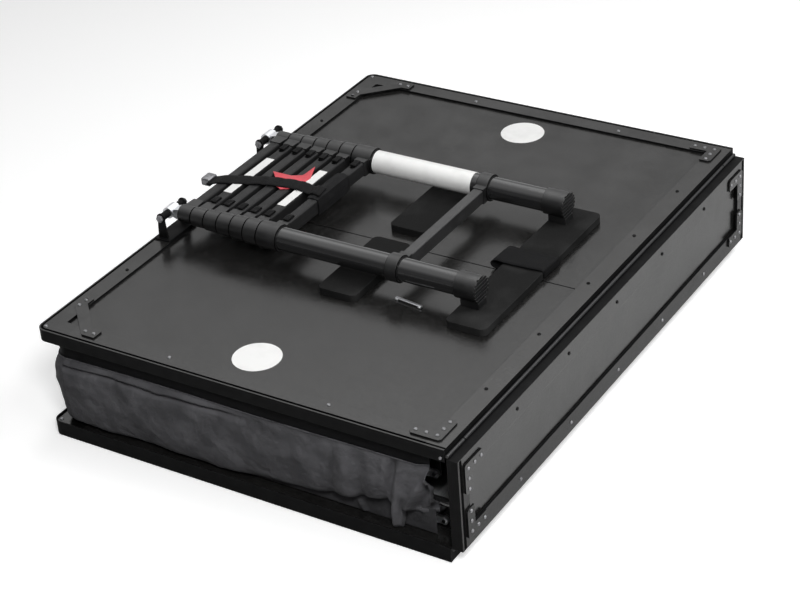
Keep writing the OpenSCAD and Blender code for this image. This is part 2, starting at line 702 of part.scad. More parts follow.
// Bracket for each stile: a foot on the lid rim, two ears and the pivot tube between them
ear_y = 40;
ear_t = 4;
module ladder_brackets() color(frame_col) both_stiles() difference() {
    union() {
        translate([6, -ear_y - 12, -lad_h]) cube([44, 2 * ear_y + 24, ear_t]);
        for (s = [-1, 1]) translate([0, s * (ear_y + ear_t / 2), 0]) pull_y(ear_t) {
            polygon([[pivot_x - 13, -lad_h], [pivot_x + 15, -lad_h], [pivot_x + 9, 0], [pivot_x - 9, 0]]);
            translate([pivot_x, 0]) circle(pivot_r + 6.5, $fn = 32);
        }
        translate([pivot_x, 0, 0]) along_y(pivot_r + 4, -ear_y, ear_y);
    }
    translate([pivot_x, 0, 0]) along_y(pivot_r + snug, -60, 60);
}

module pivot_bolts() color(metal_col) both_stiles() translate([pivot_x, 0, 0]) {
    along_y(pivot_r, -ear_y - ear_t - 6, ear_y + ear_t + 6);
    for (s = [-1, 1]) translate([0, s * (ear_y + ear_t + 3), 0])
        rotate([90, 0, 0]) cylinder(r = 1.8 * pivot_r, h = 6, center = true, $fn = 6);
}

// Rests under the ladder: a long one for the feet, two short ones side by side
module ladder_rests() color(plastic_col) translate([x_free, lad_y + rest_shift, z_panel]) {
    linear_extrude(rest_t) translate([rest_at, 0]) round_rect(rest_w, rest_len, 14);
    for (s = [-1, 1]) translate([short_rest_x, s * (short_rest_len / 2 + short_rest_gap), 0])
        linear_extrude(rest_t) round_rect(rest_w, short_rest_len, 14);
}

// Webbing tied round the middle of the long rest, with a loop that stands off on one side
module rest_strap() color(plastic_col) translate([x_free + rest_at, lad_y + 8, z_panel]) pull_y(70) {
    half = rest_w / 2 + run;
    top = rest_t + run;
    for (s = [-1, 1]) translate([s * (half + strap_t / 2) - strap_t / 2, 0]) square([strap_t, top + strap_t]);
    translate([-half - strap_t, top]) square([2 * half + 2 * strap_t, strap_t]);
    translate([-half - strap_t / 2 - 12, 12.5 + run]) difference() {
        circle(12.5, $fn = 32);
        circle(12.5 - strap_t, $fn = 32);
    }
}

// Webbing over the packed rungs, sewn to a sleeve round the last of them
module ladder_strap() color(plastic_col) ladder_place() {
    x0 = rung_at(1) - rung_w / 2 - 12;
    hole_w = rung_w + 2 * run;
    hole_d = rung_d + 2 * run;
    translate([x0, -8 - strap_w / 2, rung_top + pull_t + 2 * run])
        cube([rung_at(sections) - x0, strap_w, strap_t]);
    translate([rung_at(sections), (sleeve_near - sleeve_far) / 2, rung_z])
        pull_y(2 * slot_end - sleeve_near - sleeve_far) difference() {
            round_rect(hole_w + 2 * sleeve_t, hole_d + 2 * sleeve_t, 8);
            round_rect(hole_w, hole_d, 5);
        }
}

// Pull tab under the strap: a pointed plate that widens towards its tail
module strap_buckle() color([0.75, 0.12, 0.14]) ladder_place()
    translate([rung_at(6) + rung_w / 2 - pull_len, slot_end - pull_gap, rung_top + run])
        linear_extrude(pull_t) polygon([[0, -64], [pull_len - 64, -88], [pull_len - 40, -pull_w],
            [pull_len - 2, -pull_w], [pull_len, -6], [pull_len - 12, 0], [pull_len - 26, -34],
            [pull_len - 44, -48]]);

base_panel();
base_rim();
base_hinge_rail();
mounting_rails();
base_mattress();
canvas_lower();
lower_hinge_base_leaf();
spine_panel();
spine_frame();
spine_plates();
spine_bolts();
lower_hinge_spine_leaf();
upper_hinge_spine_leaf();
hinge_pins();
main_bow();
lid_panel_front();
lid_panel_back();
lid_rim();
lid_hinge_rail();
lid_plates();
lid_bolts();
upper_hinge_lid_leaf();
lid_mattress();
canvas_upper();
ladder_rests();
rest_strap();
ladder_brackets();
pivot_bolts();
lower_bow();
upper_bow();
for (k = [1 : sections]) ladder_section(k);
for (k = [1 : sections]) ladder_collars(k);
ladder_tongues();
ladder_feet();
ladder_strap();
strap_buckle();
for (k = [2 : sections]) latch(k, false);
for (k = [2 : sections]) latch(k, true);
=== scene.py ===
"""Roof top tent, folded shut: finishes, canvas, bedding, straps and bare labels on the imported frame, in a studio."""

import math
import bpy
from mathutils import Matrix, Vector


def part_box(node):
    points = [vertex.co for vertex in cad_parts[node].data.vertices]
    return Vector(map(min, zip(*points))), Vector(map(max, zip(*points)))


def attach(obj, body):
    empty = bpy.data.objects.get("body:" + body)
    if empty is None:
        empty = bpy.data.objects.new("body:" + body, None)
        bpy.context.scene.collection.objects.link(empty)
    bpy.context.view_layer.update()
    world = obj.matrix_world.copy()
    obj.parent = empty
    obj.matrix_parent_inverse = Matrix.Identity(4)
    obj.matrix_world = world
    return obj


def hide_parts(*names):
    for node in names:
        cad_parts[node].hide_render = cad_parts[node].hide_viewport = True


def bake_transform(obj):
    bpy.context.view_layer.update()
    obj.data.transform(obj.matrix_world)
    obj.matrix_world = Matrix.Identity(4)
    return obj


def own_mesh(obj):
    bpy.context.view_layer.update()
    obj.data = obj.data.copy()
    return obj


bl_info = {
    "name": "Roof Top Tent",
    "version": (1, 0, 0),
    "blender": (4, 5, 0),
    "location": "View3D > Sidebar > Tent",
    "description": "Dresses the folded roof top tent with finishes, canvas, bedding, straps and a studio",
    "category": "Object",
}

from collections import namedtuple

import bmesh
import bpy
from bpy.props import FloatProperty, FloatVectorProperty, PointerProperty
from mathutils import Matrix, Vector, noise

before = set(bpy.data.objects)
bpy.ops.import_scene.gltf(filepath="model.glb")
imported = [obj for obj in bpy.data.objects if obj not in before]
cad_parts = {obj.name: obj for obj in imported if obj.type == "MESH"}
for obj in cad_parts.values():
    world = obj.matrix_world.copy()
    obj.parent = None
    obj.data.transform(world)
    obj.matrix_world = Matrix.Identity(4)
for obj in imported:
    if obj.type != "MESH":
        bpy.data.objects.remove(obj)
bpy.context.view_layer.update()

# Places on the frame that the soft pieces and fittings are set out from
RIM_LOW, RIM_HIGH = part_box("lid_rim")
FREE_X = RIM_LOW[0]
HINGE_X = RIM_HIGH[0]
END_Y = RIM_HIGH[1]
FLOOR_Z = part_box("base_panel")[1][2]
CEILING_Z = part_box("lid_panel_front")[0][2]
PANEL_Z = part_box("lid_panel_front")[1][2]
RIM_Z = RIM_LOW[2]
SECTION_LOW, SECTION_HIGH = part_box("ladder_section_7")
LADDER_Y = (SECTION_LOW[1] + SECTION_HIGH[1]) / 2
LADDER_Z = (SECTION_LOW[2] + SECTION_HIGH[2]) / 2
TUBE_R = (SECTION_HIGH[2] - SECTION_LOW[2]) / 2
STILE_Y = SECTION_HIGH[1] - TUBE_R
RUNG_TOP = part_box("strap_buckle")[0][2] - 0.0003
LID_Z = RIM_HIGH[2]
SPINE_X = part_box("spine_frame")[1][0]


def corners(node):
    """Low and high corner of a node's box."""
    return (Vector(corner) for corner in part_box(node))


def middle_x(node):
    """Middle of a node along the depth of the tent."""
    low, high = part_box(node)
    return (low[0] + high[0]) / 2


LATCHES = [f"latch_{k}_{side}" for k in range(2, 8) for side in ("near", "far")]
RUNG_X = [middle_x(node) for node in ("ladder_collars_1", *LATCHES[::2])]

# Height at which the two cloths meet, share of the upper one that is band, and its height on the UV map
SPINE_RING_Z = FLOOR_Z + 0.066
BAND_SHARE = 0.18
UPPER_MAP = 0.36

# How far a face may lie from the outer face of a flange and still belong to it, and the depth of the spine's head,
# below which the spine's frame is painted duller as shade
FACE_SLACK = 0.0005
SPINE_HEAD = 0.095

# Brightness of the mirrored studio from below to above, and the way that its bright end lies
SKY = ((0.0, 1.0), (0.25, 0.6), (0.40, 0.36), (0.47, 0.41), (0.60, 1.25), (0.76, 2.2), (1.0, 0.8))
BRIGHT_END = (-0.556, 0.831, 0.0)


def length(name, description, default):
    """Property for a size in metres."""
    return FloatProperty(name=name, description=description, default=default, unit="LENGTH", precision=4)


def colour(name, description, default):
    """Property for a colour."""
    return FloatVectorProperty(name=name, description=description, default=default, subtype="COLOR", min=0.0, max=1.0)


class TentSizes(bpy.types.PropertyGroup):
    """Sizes of the soft pieces and fittings."""

    canvas_inset: length("Canvas inset", "Distance of the canvas wall from the outer edges", 0.026)
    canvas_corner: length("Canvas corner", "Radius of the canvas at the two free corners", 0.030)
    canvas_end: length("Canvas end", "Distance from the hinge edge to the end of the canvas", 0.050)
    canvas_bulge: length("Canvas bulge", "How far the packed canvas swells outwards", 0.0185)
    canvas_thick: length("Canvas thickness", "Thickness of the cloth", 0.0012)
    band_low: length("Band height", "Height of the black band's lower edge", 0.211)
    welt: length("Welt radius", "Radius of the welt under the band", 0.0016)
    mattress_crown: length("Mattress crown", "How much lower the mattress is at its edges", 0.012)
    webbing: length("Webbing thickness", "Thickness of the webbing", 0.0024)
    ladder_strap: length("Ladder strap width", "Width of the strap over the rungs", 0.040)
    rest_strap: length("Rest strap width", "Width of the strap round the long rest", 0.070)
    pull: length("Pull thickness", "Thickness of the pull under the strap", 0.0022)
    disc: length("Disc radius", "Radius of the bare discs on the lid", 0.055)
    label: length("Label thickness", "Thickness of the bare labels", 0.0005)
    label_length: length("Stile label length", "Length of the label round the far stile", 0.272)
    # Reach of the painted shade drawn darker on the lid's free corners
    corner_shade: length("Corner cap", "Length of the dark caps on the lid's free corners", 0.084)


class TentColours(bpy.types.PropertyGroup):
    """Colours of the finishes."""

    panel: colour("Panel", "Coated panels of the lid, base and spine", (0.0085, 0.0083, 0.0080))
    speck: colour("Coat specks", "Pale specks in the coat", (0.024, 0.0235, 0.023))
    flange: colour("Flange", "Outer faces of the flanges and corner plates", (0.0105, 0.0103, 0.0100))
    rail: colour("Rail", "Edge rails, and the edges of the flanges and plates", (0.0050, 0.0050, 0.0052))
    hinge: colour("Hinge", "Hinge leaves and pins", (0.030, 0.030, 0.031))
    tube: colour("Tube", "Ladder tubes", (0.015, 0.015, 0.0155))
    rung: colour("Rung", "Rungs", (0.016, 0.016, 0.0165))
    moulding: colour("Moulding", "Moulded collars, feet and latches", (0.007, 0.007, 0.0073))
    # Black of the joints and seams, also used as painted shade in the grooves
    seal: colour("Seal", "Rubber in the grooves and seams", (0.0022, 0.0022, 0.0023))
    rest: colour("Rest", "Foam rests under the ladder", (0.012, 0.012, 0.012))
    canvas: colour("Canvas", "Canvas", (0.125, 0.124, 0.132))
    band: colour("Band", "Coated band at the top of the canvas", (0.0068, 0.0068, 0.0073))
    webbing: colour("Webbing", "Straps", (0.0055, 0.0055, 0.0058))
    sleeve: colour("Sleeve", "Sleeve round the last packed rung", (0.0085, 0.0085, 0.009))
    mattress: colour("Mattress", "Mattress cover", (0.19, 0.195, 0.20))
    aluminium: colour("Aluminium", "Bare aluminium tubes and rails", (0.71, 0.72, 0.74))
    bolt: colour("Bolt", "Bolts and pins", (0.24, 0.24, 0.25))
    label: colour("Label", "Bare vinyl labels", (0.83, 0.83, 0.82))
    pull: colour("Pull", "Pull tab of the ladder strap", (0.60, 0.055, 0.075))
    floor: colour("Floor", "Studio floor", (0.90, 0.90, 0.90))
    bounce: colour("Floor bounce", "Colour of the light that the floor throws back", (0.09, 0.09, 0.09))


class Nodes:
    """A node tree, with short ways to add to it."""

    def __init__(self, tree):
        self.tree = tree

    def node(self, kind, links=None, **values):
        """Adds a node, sets its options or inputs by name and links the inputs that are given."""
        made = self.tree.nodes.new(kind)
        for key, value in values.items():
            if hasattr(made, key):
                setattr(made, key, value)
            else:
                made.inputs[key.replace("_", " ").title()].default_value = value
        for socket, source in (links or {}).items():
            self.tree.links.new(source, made.inputs[socket])
        return made

    def work_out(self, operation, *values):
        """Result of an operation on patterns and numbers."""
        made = self.node("ShaderNodeMath", operation=operation)
        for socket, value in zip(made.inputs, values):
            if isinstance(value, float):
                socket.default_value = value
            else:
                self.tree.links.new(value, socket)
        return made.outputs["Value"]

    def times(self, one, other):
        """Product of two patterns, or of a pattern and a number."""
        return self.work_out("MULTIPLY", one, other)

    def spread(self, source, low, high, start=0.0, end=1.0):
        """The pattern's range from low to high opened out to start and end."""
        ends = {"from_min": low, "from_max": high, "to_min": start, "to_max": end}
        return self.node("ShaderNodeMapRange", {"Value": source}, **ends).outputs["Result"]

    def seen_rays(self):
        """The light path, and 1 for rays that are seen straight, in a mirror or through glass."""
        path = self.node("ShaderNodeLightPath").outputs
        seen = path["Is Camera Ray"]
        for kind in ("Is Glossy Ray", "Is Transmission Ray"):
            seen = self.work_out("MAXIMUM", seen, path[kind])
        return path, seen


class Finish(Nodes):
    """A procedural material whose colour, roughness and relief are built up in layers."""

    def __init__(self, name, paint, roughness, shine=0.5, metallic=0.0, space="Object"):
        self.material = bpy.data.materials.new(name)
        self.material.use_nodes = True
        self.material.diffuse_color = (*paint, 1.0)
        super().__init__(self.material.node_tree)
        self.shader = self.tree.nodes["Principled BSDF"]
        self.own, self.paint = tuple(paint), (*paint, 1.0)
        self.set("Base Color", self.paint)
        self.set("Roughness", roughness)
        self.set("Metallic", metallic)
        self.set("Specular IOR Level", shine)
        self.place = self.node("ShaderNodeTexCoord").outputs[space]

    def set(self, socket, value):
        """Sets one of the shader's own values."""
        self.shader.inputs[socket].default_value = value

    def stretch(self, scale, turn=(0.0, 0.0, 0.0)):
        """Coordinates scaled and turned for a pattern that runs one way."""
        return self.node("ShaderNodeMapping", {"Vector": self.place}, scale=scale, rotation=turn).outputs["Vector"]

    def grain(self, scale, detail, place=None):
        """Cloudy pattern between 0 and 1."""
        made = self.node("ShaderNodeTexNoise", {"Vector": place or self.place}, scale=scale, detail=detail)
        return made.outputs["Fac"]

    def ribs(self, scale, axis):
        """Even ridges across one axis, between 0 and 1."""
        made = self.node("ShaderNodeTexWave", {"Vector": self.place}, scale=scale, bands_direction=axis)
        return made.outputs["Fac"]

    def weave(self, along, across):
        """Ridges both ways, as threads cross."""
        return self.times(self.ribs(along, "X"), self.ribs(across, "Y"))

    def span(self, axis, low, high, both=False):
        """1 where the place along an axis lies between two values, on both sides of the middle if asked."""
        at = self.node("ShaderNodeSeparateXYZ", {0: self.place}).outputs[axis]
        if both:
            at = self.work_out("ABSOLUTE", at)
        return self.times(self.work_out("GREATER_THAN", at, low), self.work_out("LESS_THAN", at, high))

    def tint(self, share, paint):
        """Mixes a second colour, or a share of the finish's own, over what is there."""
        if isinstance(paint, float):
            paint = shade(self.own, paint)
        made = self.node("ShaderNodeMix", {0: share}, data_type="RGBA")
        if isinstance(self.paint, tuple):
            made.inputs[6].default_value = self.paint
        else:
            self.tree.links.new(self.paint, made.inputs[6])
        made.inputs[7].default_value = (*paint, 1.0)
        self.paint = made.outputs[2]
        self.tree.links.new(self.paint, self.shader.inputs["Base Color"])

    def cloud(self, scale, detail, low, high, amount, paint, place=None):
        """Tints the part of a cloudy pattern between low and high."""
        self.tint(self.spread(self.grain(scale, detail, place), low, high, 0.0, amount), paint)

    def polish(self, source, low, high):
        """Roughness that follows a pattern."""
        self.tree.links.new(self.spread(source, 0.3, 0.7, low, high), self.shader.inputs["Roughness"])

    def relief(self, height, distance, strength):
        """Adds a bump, distance metres deep, on top of the relief that is there."""
        made = self.node("ShaderNodeBump", {"Height": height}, distance=distance, strength=strength)
        normal = self.shader.inputs["Normal"]
        if normal.is_linked:
            self.tree.links.new(normal.links[0].from_socket, made.inputs["Normal"])
        self.tree.links.new(made.outputs["Normal"], normal)

    def soft_edges(self, radius, edge_wear_and_highlight=None, amount=0.0):
        """Rounds hard edges in the shading, and paints them a second colour: wear, and on the rail coat also a painted
        highlight.
        """
        made = self.node("ShaderNodeBevel", samples=6, radius=radius)
        self.tree.links.new(made.outputs["Normal"], self.shader.inputs["Normal"])
        if edge_wear_and_highlight:
            flat = self.node("ShaderNodeNewGeometry").outputs["Normal"]
            turned = self.node("ShaderNodeVectorMath", {0: made.outputs["Normal"], 1: flat}, operation="DOT_PRODUCT")
            edge = self.spread(turned.outputs["Value"], 1.0, 0.86, 0.0, amount)
            self.tint(self.times(edge, self.spread(self.grain(60.0, 5.0), 0.3, 0.65)), edge_wear_and_highlight)


def shade(base, share):
    """A colour made lighter or darker by a share."""
    return tuple(channel * share for channel in base)


def powder_coat(coat):
    """Textured powder coat: broad clouding, fine specks, and painted shade on the lid's free corners."""
    coat.soft_edges(0.0008)
    coat.cloud(3.2, 4.0, 0.38, 0.68, 0.8, 1.5)
    coat.cloud(26.0, 5.0, 0.42, 0.70, 0.5, 0.7)
    coat.cloud(230.0, 3.0, 0.44, 0.64, 0.9, bpy.context.scene.tent_colours.speck)
    coat.cloud(130.0, 4.0, 0.52, 0.36, 0.5, 0.5)
    # The free corners are drawn darker: painted shade, not caps.
    cap = bpy.context.scene.tent_sizes.corner_shade
    corner = coat.times(coat.span(0, -1.0, FREE_X + cap), coat.span(1, END_Y - cap, 1.0, both=True))
    coat.tint(coat.times(corner, 0.85), 0.30)
    coat.polish(coat.grain(11.0, 4.0), 0.15, 0.27)
    coat.relief(coat.grain(300.0, 3.0), 0.0004, 0.5)


def satin_with_rubbed_and_highlit_edges(coat):
    """Satin black coat of the rails and plates, paler on the edges: rubbed wear and a painted highlight."""
    coat.soft_edges(0.0014, (0.085, 0.085, 0.088), 0.55)
    coat.cloud(24.0, 6.0, 0.55, 0.80, 0.5, 2.4)
    coat.polish(coat.grain(30.0, 5.0), 0.42, 0.60)
    coat.relief(coat.grain(1100.0, 2.0), 0.00015, 0.4)


def hinge_strip(coat):
    """Dark grey hinge strip, rubbed paler along its knuckles."""
    coat.soft_edges(0.0006, (0.11, 0.11, 0.112), 0.5)
    coat.cloud(90.0, 5.0, 0.45, 0.72, 0.7, 0.5)
    coat.polish(coat.grain(70.0, 4.0), 0.34, 0.52)


def drawn_tube(coat):
    """Glossy dark coat of the ladder tubes, with faint marks from sliding."""
    drawn = coat.stretch((3.0, 240.0, 240.0))
    coat.cloud(1.0, 4.0, 0.45, 0.75, 0.7, 1.8, drawn)
    coat.polish(coat.grain(1.4, 5.0, drawn), 0.11, 0.24)
    coat.relief(coat.grain(900.0, 2.0), 0.00012, 0.4)


def ribbed_tread(coat):
    """Mid grey anodised rung with fine drawn ribs and scuffs along the tread."""
    coat.soft_edges(0.0012, (0.16, 0.16, 0.165), 0.7)
    coat.cloud(1.0, 5.0, 0.40, 0.72, 0.6, 0.62, coat.stretch((260.0, 3.0, 260.0)))
    coat.cloud(70.0, 6.0, 0.60, 0.78, 0.6, 1.6)
    coat.polish(coat.grain(40.0, 5.0), 0.38, 0.56)
    coat.relief(coat.ribs(80.0, "X"), 0.0004, 0.7)


def spark_texture(coat):
    """Black moulded plastic with a fine spark texture and dull rubbed spots."""
    coat.soft_edges(0.0016)
    coat.cloud(38.0, 6.0, 0.52, 0.75, 0.7, 2.4)
    coat.polish(coat.grain(26.0, 5.0), 0.28, 0.50)
    coat.relief(coat.grain(1300.0, 2.0), 0.00018, 0.5)


def dusty_black_joints_and_shade(coat):
    """Dull black, a little dusty: dark joints and seams, and painted shade in the grooves."""
    coat.cloud(60.0, 5.0, 0.50, 0.75, 0.5, 3.0)


def skinned_foam(coat):
    """Dense black foam with an open skin and grey rub marks."""
    coat.soft_edges(0.0030, (0.05, 0.05, 0.05), 0.5)
    coat.cloud(9.0, 7.0, 0.48, 0.74, 0.75, 2.8)
    coat.cloud(300.0, 3.0, 0.62, 0.75, 0.5, 3.6)
    coat.relief(coat.grain(420.0, 3.0), 0.0005, 0.6)


def drawn_aluminium(coat):
    """Drawn aluminium with fine lines along the tube and cloudy oxide."""
    drawn = coat.stretch((5.0, 5.0, 420.0))
    coat.cloud(7.0, 6.0, 0.46, 0.74, 0.6, 0.7)
    coat.polish(coat.grain(1.0, 3.0, drawn), 0.26, 0.46)
    coat.relief(coat.grain(1.0, 3.0, drawn), 0.00008, 0.35)


def plated_steel(coat):
    """Dark plated steel of bolts and pins."""
    coat.soft_edges(0.0006, (0.62, 0.62, 0.63), 0.7)
    coat.cloud(150.0, 5.0, 0.45, 0.70, 0.7, 0.45)
    coat.polish(coat.grain(120.0, 4.0), 0.26, 0.48)


def coated_canvas(cloth):
    """Coated canvas: plain weave, and soft creasing that is darker in colour along its lines."""
    cloth.set("Sheen Weight", 0.05)
    cloth.set("Sheen Roughness", 0.45)
    cloth.cloud(6.0, 6.0, 0.40, 0.68, 0.8, 1.35)
    cloth.cloud(17.0, 7.0, 0.54, 0.40, 0.6, 0.62)
    lines = cloth.spread(cloth.grain(1.0, 8.0, cloth.stretch((15.0, 12.0, 1.0), (0.0, 0.0, 0.6))), 0.44, 0.56)
    cloth.tint(cloth.times(lines, 0.35), 0.60)
    cloth.polish(cloth.grain(8.0, 5.0), 0.58, 0.76)
    cloth.relief(lines, 0.0040, 0.5)
    cloth.relief(cloth.grain(45.0, 4.0), 0.0022, 0.5)
    cloth.relief(cloth.weave(310.0, 310.0), 0.00022, 0.5)


def coated_fabric(cloth):
    """Black coated fabric of the band that is pulled into the rim."""
    cloth.cloud(12.0, 6.0, 0.46, 0.74, 0.7, 2.0)
    cloth.relief(cloth.grain(1.0, 5.0, cloth.stretch((9.0, 60.0, 1.0))), 0.0020, 0.6)
    cloth.relief(cloth.weave(420.0, 420.0), 0.00016, 0.4)


def ribbed_webbing(cloth):
    """Black webbing: ribs across the strap and a twill along it."""
    twill = cloth.weave(110.0, 300.0)
    cloth.tint(cloth.times(twill, 0.6), 2.6)
    cloth.cloud(22.0, 6.0, 0.50, 0.74, 0.6, 2.2)
    cloth.relief(twill, 0.0006, 0.7)


def padded_sleeve(cloth):
    """Dark grey padded sleeve: close weave, soft creases across it and rubbed folds."""
    cloth.cloud(30.0, 6.0, 0.46, 0.72, 0.7, 1.9)
    cloth.relief(cloth.grain(1.0, 5.0, cloth.stretch((60.0, 25.0, 1.0))), 0.0016, 0.5)
    cloth.relief(cloth.weave(260.0, 260.0), 0.0003, 0.5)


def knitted_cover(cloth):
    """Knitted mattress cover with a fine rib and soft pilling."""
    cloth.set("Sheen Weight", 0.3)
    cloth.cloud(5.0, 5.0, 0.40, 0.70, 0.6, 0.78)
    knit = cloth.weave(150.0, 220.0)
    cloth.tint(cloth.times(knit, 0.5), 1.35)
    cloth.relief(knit, 0.0005, 0.6)
    cloth.relief(cloth.grain(240.0, 3.0), 0.0004, 0.4)


def bare_vinyl(coat):
    """White vinyl without print, slightly cloudy, with faint handling marks."""
    coat.cloud(30.0, 6.0, 0.48, 0.74, 0.45, 0.82)
    coat.polish(coat.grain(45.0, 4.0), 0.30, 0.48)
    coat.relief(coat.grain(120.0, 3.0), 0.0002, 0.25)


def rubbed_plastic(coat):
    """Red moulded plastic, paler on its rubbed edges."""
    coat.soft_edges(0.0012, (0.75, 0.20, 0.22), 0.5)
    coat.cloud(60.0, 5.0, 0.46, 0.72, 0.5, 0.68)
    coat.polish(coat.grain(50.0, 4.0), 0.34, 0.52)
    coat.relief(coat.grain(900.0, 2.0), 0.00012, 0.4)


Recipe = namedtuple("Recipe", "layers paint roughness shine metallic share space", defaults=(0.5, 0.0, 1.0, "Object"))
FINISHES = {
    "panel_coat": Recipe(powder_coat, "panel", 0.20, 0.58),
    "spine_coat": Recipe(powder_coat, "panel", 0.20, 0.46),
    "flange_coat": Recipe(powder_coat, "flange", 0.20, 0.58),
    "hinge_flange_coat": Recipe(powder_coat, "flange", 0.20, 0.58, share=2.2),
    # Duller copy of the flange coat for the spine frame below its head: painted shade
    "frame_coat": Recipe(powder_coat, "flange", 0.20, 0.2),
    "rail_coat": Recipe(satin_with_rubbed_and_highlit_edges, "rail", 0.50, 0.06),
    "hinge_coat": Recipe(hinge_strip, "hinge", 0.42, metallic=0.3),
    "tube_coat": Recipe(drawn_tube, "tube", 0.18, 0.75),
    "rung_coat": Recipe(ribbed_tread, "rung", 0.40, 0.22, 0.15),
    # Shinier copy of the rung coat for the bottom rung: painted highlight
    "step_coat": Recipe(ribbed_tread, "rung", 0.40, 0.8, 0.15),
    "moulded_plastic": Recipe(spark_texture, "moulding", 0.32, 0.55),
    "seal_rubber": Recipe(dusty_black_joints_and_shade, "seal", 0.85, 0.03),
    "rest_foam": Recipe(skinned_foam, "rest", 0.78, 0.05),
    "bare_aluminium": Recipe(drawn_aluminium, "aluminium", 0.34, metallic=1.0),
    "zinc_steel": Recipe(plated_steel, "bolt", 0.36, metallic=1.0),
    "canvas_cloth": Recipe(coated_canvas, "canvas", 0.66, 0.06, space="UV"),
    # Darker copy of the canvas for the lower cloth: painted shade under the bulge
    "canvas_skirt": Recipe(coated_canvas, "canvas", 0.66, 0.06, share=0.55, space="UV"),
    "coated_band": Recipe(coated_fabric, "band", 0.50, 0.05, space="UV"),
    "woven_webbing": Recipe(ribbed_webbing, "webbing", 0.66, 0.08, space="UV"),
    "sleeve_cloth": Recipe(padded_sleeve, "sleeve", 0.70, 0.1, space="UV"),
    "mattress_ticking": Recipe(knitted_cover, "mattress", 0.86),
    "vinyl_label": Recipe(bare_vinyl, "label", 0.38),
    "pull_plastic": Recipe(rubbed_plastic, "pull", 0.42),
}


def finish(name):
    """A finish in the scene's colours, made once."""
    if name not in bpy.data.materials:
        recipe = FINISHES[name]
        paint = shade(getattr(bpy.context.scene.tent_colours, recipe.paint), recipe.share)
        recipe.layers(Finish(name, paint, recipe.roughness, recipe.shine, recipe.metallic, recipe.space))
    return bpy.data.materials[name]


def dress(coat, *nodes):
    """Gives CAD nodes their finish."""
    for name in nodes:
        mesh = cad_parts[name].data
        mesh.materials.clear()
        mesh.materials.append(finish(coat))


def face_finish(node, coat, test):
    """Gives those faces of a CAD node that pass a test a second finish."""
    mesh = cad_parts[node].data
    mesh.materials.append(finish(coat))
    for face in mesh.polygons:
        if test(face, [mesh.vertices[index].co for index in face.vertices]):
            face.material_index = len(mesh.materials) - 1


def piece_from(bm, name, *finishes, sharp=38.0):
    """Object made from a bmesh, smooth but for its sharp edges."""
    mesh = bpy.data.meshes.new(name)
    bm.to_mesh(mesh)
    bm.free()
    for coat in finishes:
        mesh.materials.append(finish(coat))
    mesh.shade_smooth()
    mesh.set_sharp_from_angle(angle=math.radians(sharp))
    made = bpy.data.objects.new(name, mesh)
    bpy.context.scene.collection.objects.link(made)
    return made


def rounded_block(bm, size, place, radius, segments=3):
    """Adds a block with rounded edges and returns its vertices."""
    before = set(bm.verts)
    block = bmesh.ops.create_cube(bm, size=1.0)["verts"]
    bmesh.ops.scale(bm, vec=size, verts=block)
    edges = list(dict.fromkeys(edge for vert in block for edge in vert.link_edges))
    cut = {"offset": radius, "offset_type": "OFFSET", "segments": segments, "profile": 0.5}
    bmesh.ops.bevel(bm, geom=edges, affect="EDGES", material=-1, **cut)
    fresh = [vert for vert in bm.verts if vert not in before]
    bmesh.ops.translate(bm, vec=place, verts=fresh)
    return fresh


def in_order(bm):
    """The same mesh with its faces in the order of their vertices, since a solidified rim comes in no fixed order."""
    bm.verts.index_update()
    fresh = bmesh.new()
    verts = [fresh.verts.new(vert.co) for vert in bm.verts]
    loops = [[vert.index for vert in face.verts] for face in bm.faces]
    for loop in sorted(loop[loop.index(min(loop)) :] + loop[: loop.index(min(loop))] for loop in loops):
        fresh.faces.new([verts[index] for index in loop])
    bm.free()
    return fresh


def round_head(bm, radius, tip, depth, place, turn=0.0, segments=24):
    """Adds a round head, disc or rod, turned over about x, at a place."""
    sizes = {"radius1": radius, "radius2": tip, "depth": depth}
    made = bmesh.ops.create_cone(bm, cap_ends=True, segments=segments, **sizes)["verts"]
    bmesh.ops.rotate(bm, cent=(0, 0, 0), matrix=Matrix.Rotation(turn, 3, "X"), verts=made)
    bmesh.ops.translate(bm, vec=place, verts=made)


def curve_at(points, share):
    """Point at a share of a smooth curve through evenly spaced points."""
    at = min(max(share, 0.0), 1.0) * (len(points) - 1)
    i = min(int(at), len(points) - 2)
    t = at - i
    before, start, end, after = (Vector(points[min(max(k, 0), len(points) - 1)]) for k in range(i - 1, i + 3))
    pull, push = (end - before) / 2, (after - start) / 2
    leaving = start * (2 * t**3 - 3 * t**2 + 1) + pull * (t**3 - 2 * t**2 + t)
    return leaving + end * (3 * t**2 - 2 * t**3) + push * (t**3 - t**2)


def smooth_step(low, high, value):
    """Rises from 0 at low to 1 at high."""
    t = min(max((value - low) / (high - low), 0.0), 1.0)
    return t * t * (3 - 2 * t)


def cloth_grid(columns, rows, place, size, run=lambda along: along):
    """Grid of cloth laid out by place(along, across), mapped in metres, its columns spread by run(along)."""
    bm = bmesh.new()
    uv = bm.loops.layers.uv.new("cloth")
    bmesh.ops.create_grid(bm, x_segments=columns, y_segments=rows, size=0.5, calc_uvs=True)
    for face in bm.faces:
        for loop in face.loops:
            loop[uv].uv = (run(loop.vert.co.x + 0.5) * size[0], (loop.vert.co.y + 0.5) * size[1])
    for vert in bm.verts:
        vert.co = place(run(vert.co.x + 0.5), vert.co.y + 0.5)
    return bm


def add_thickness(made, thickness):
    """Gives a sheet its thickness on the inner side."""
    solid = made.modifiers.new("thickness", "SOLIDIFY")
    solid.thickness = thickness
    solid.offset = -1.0
    return made


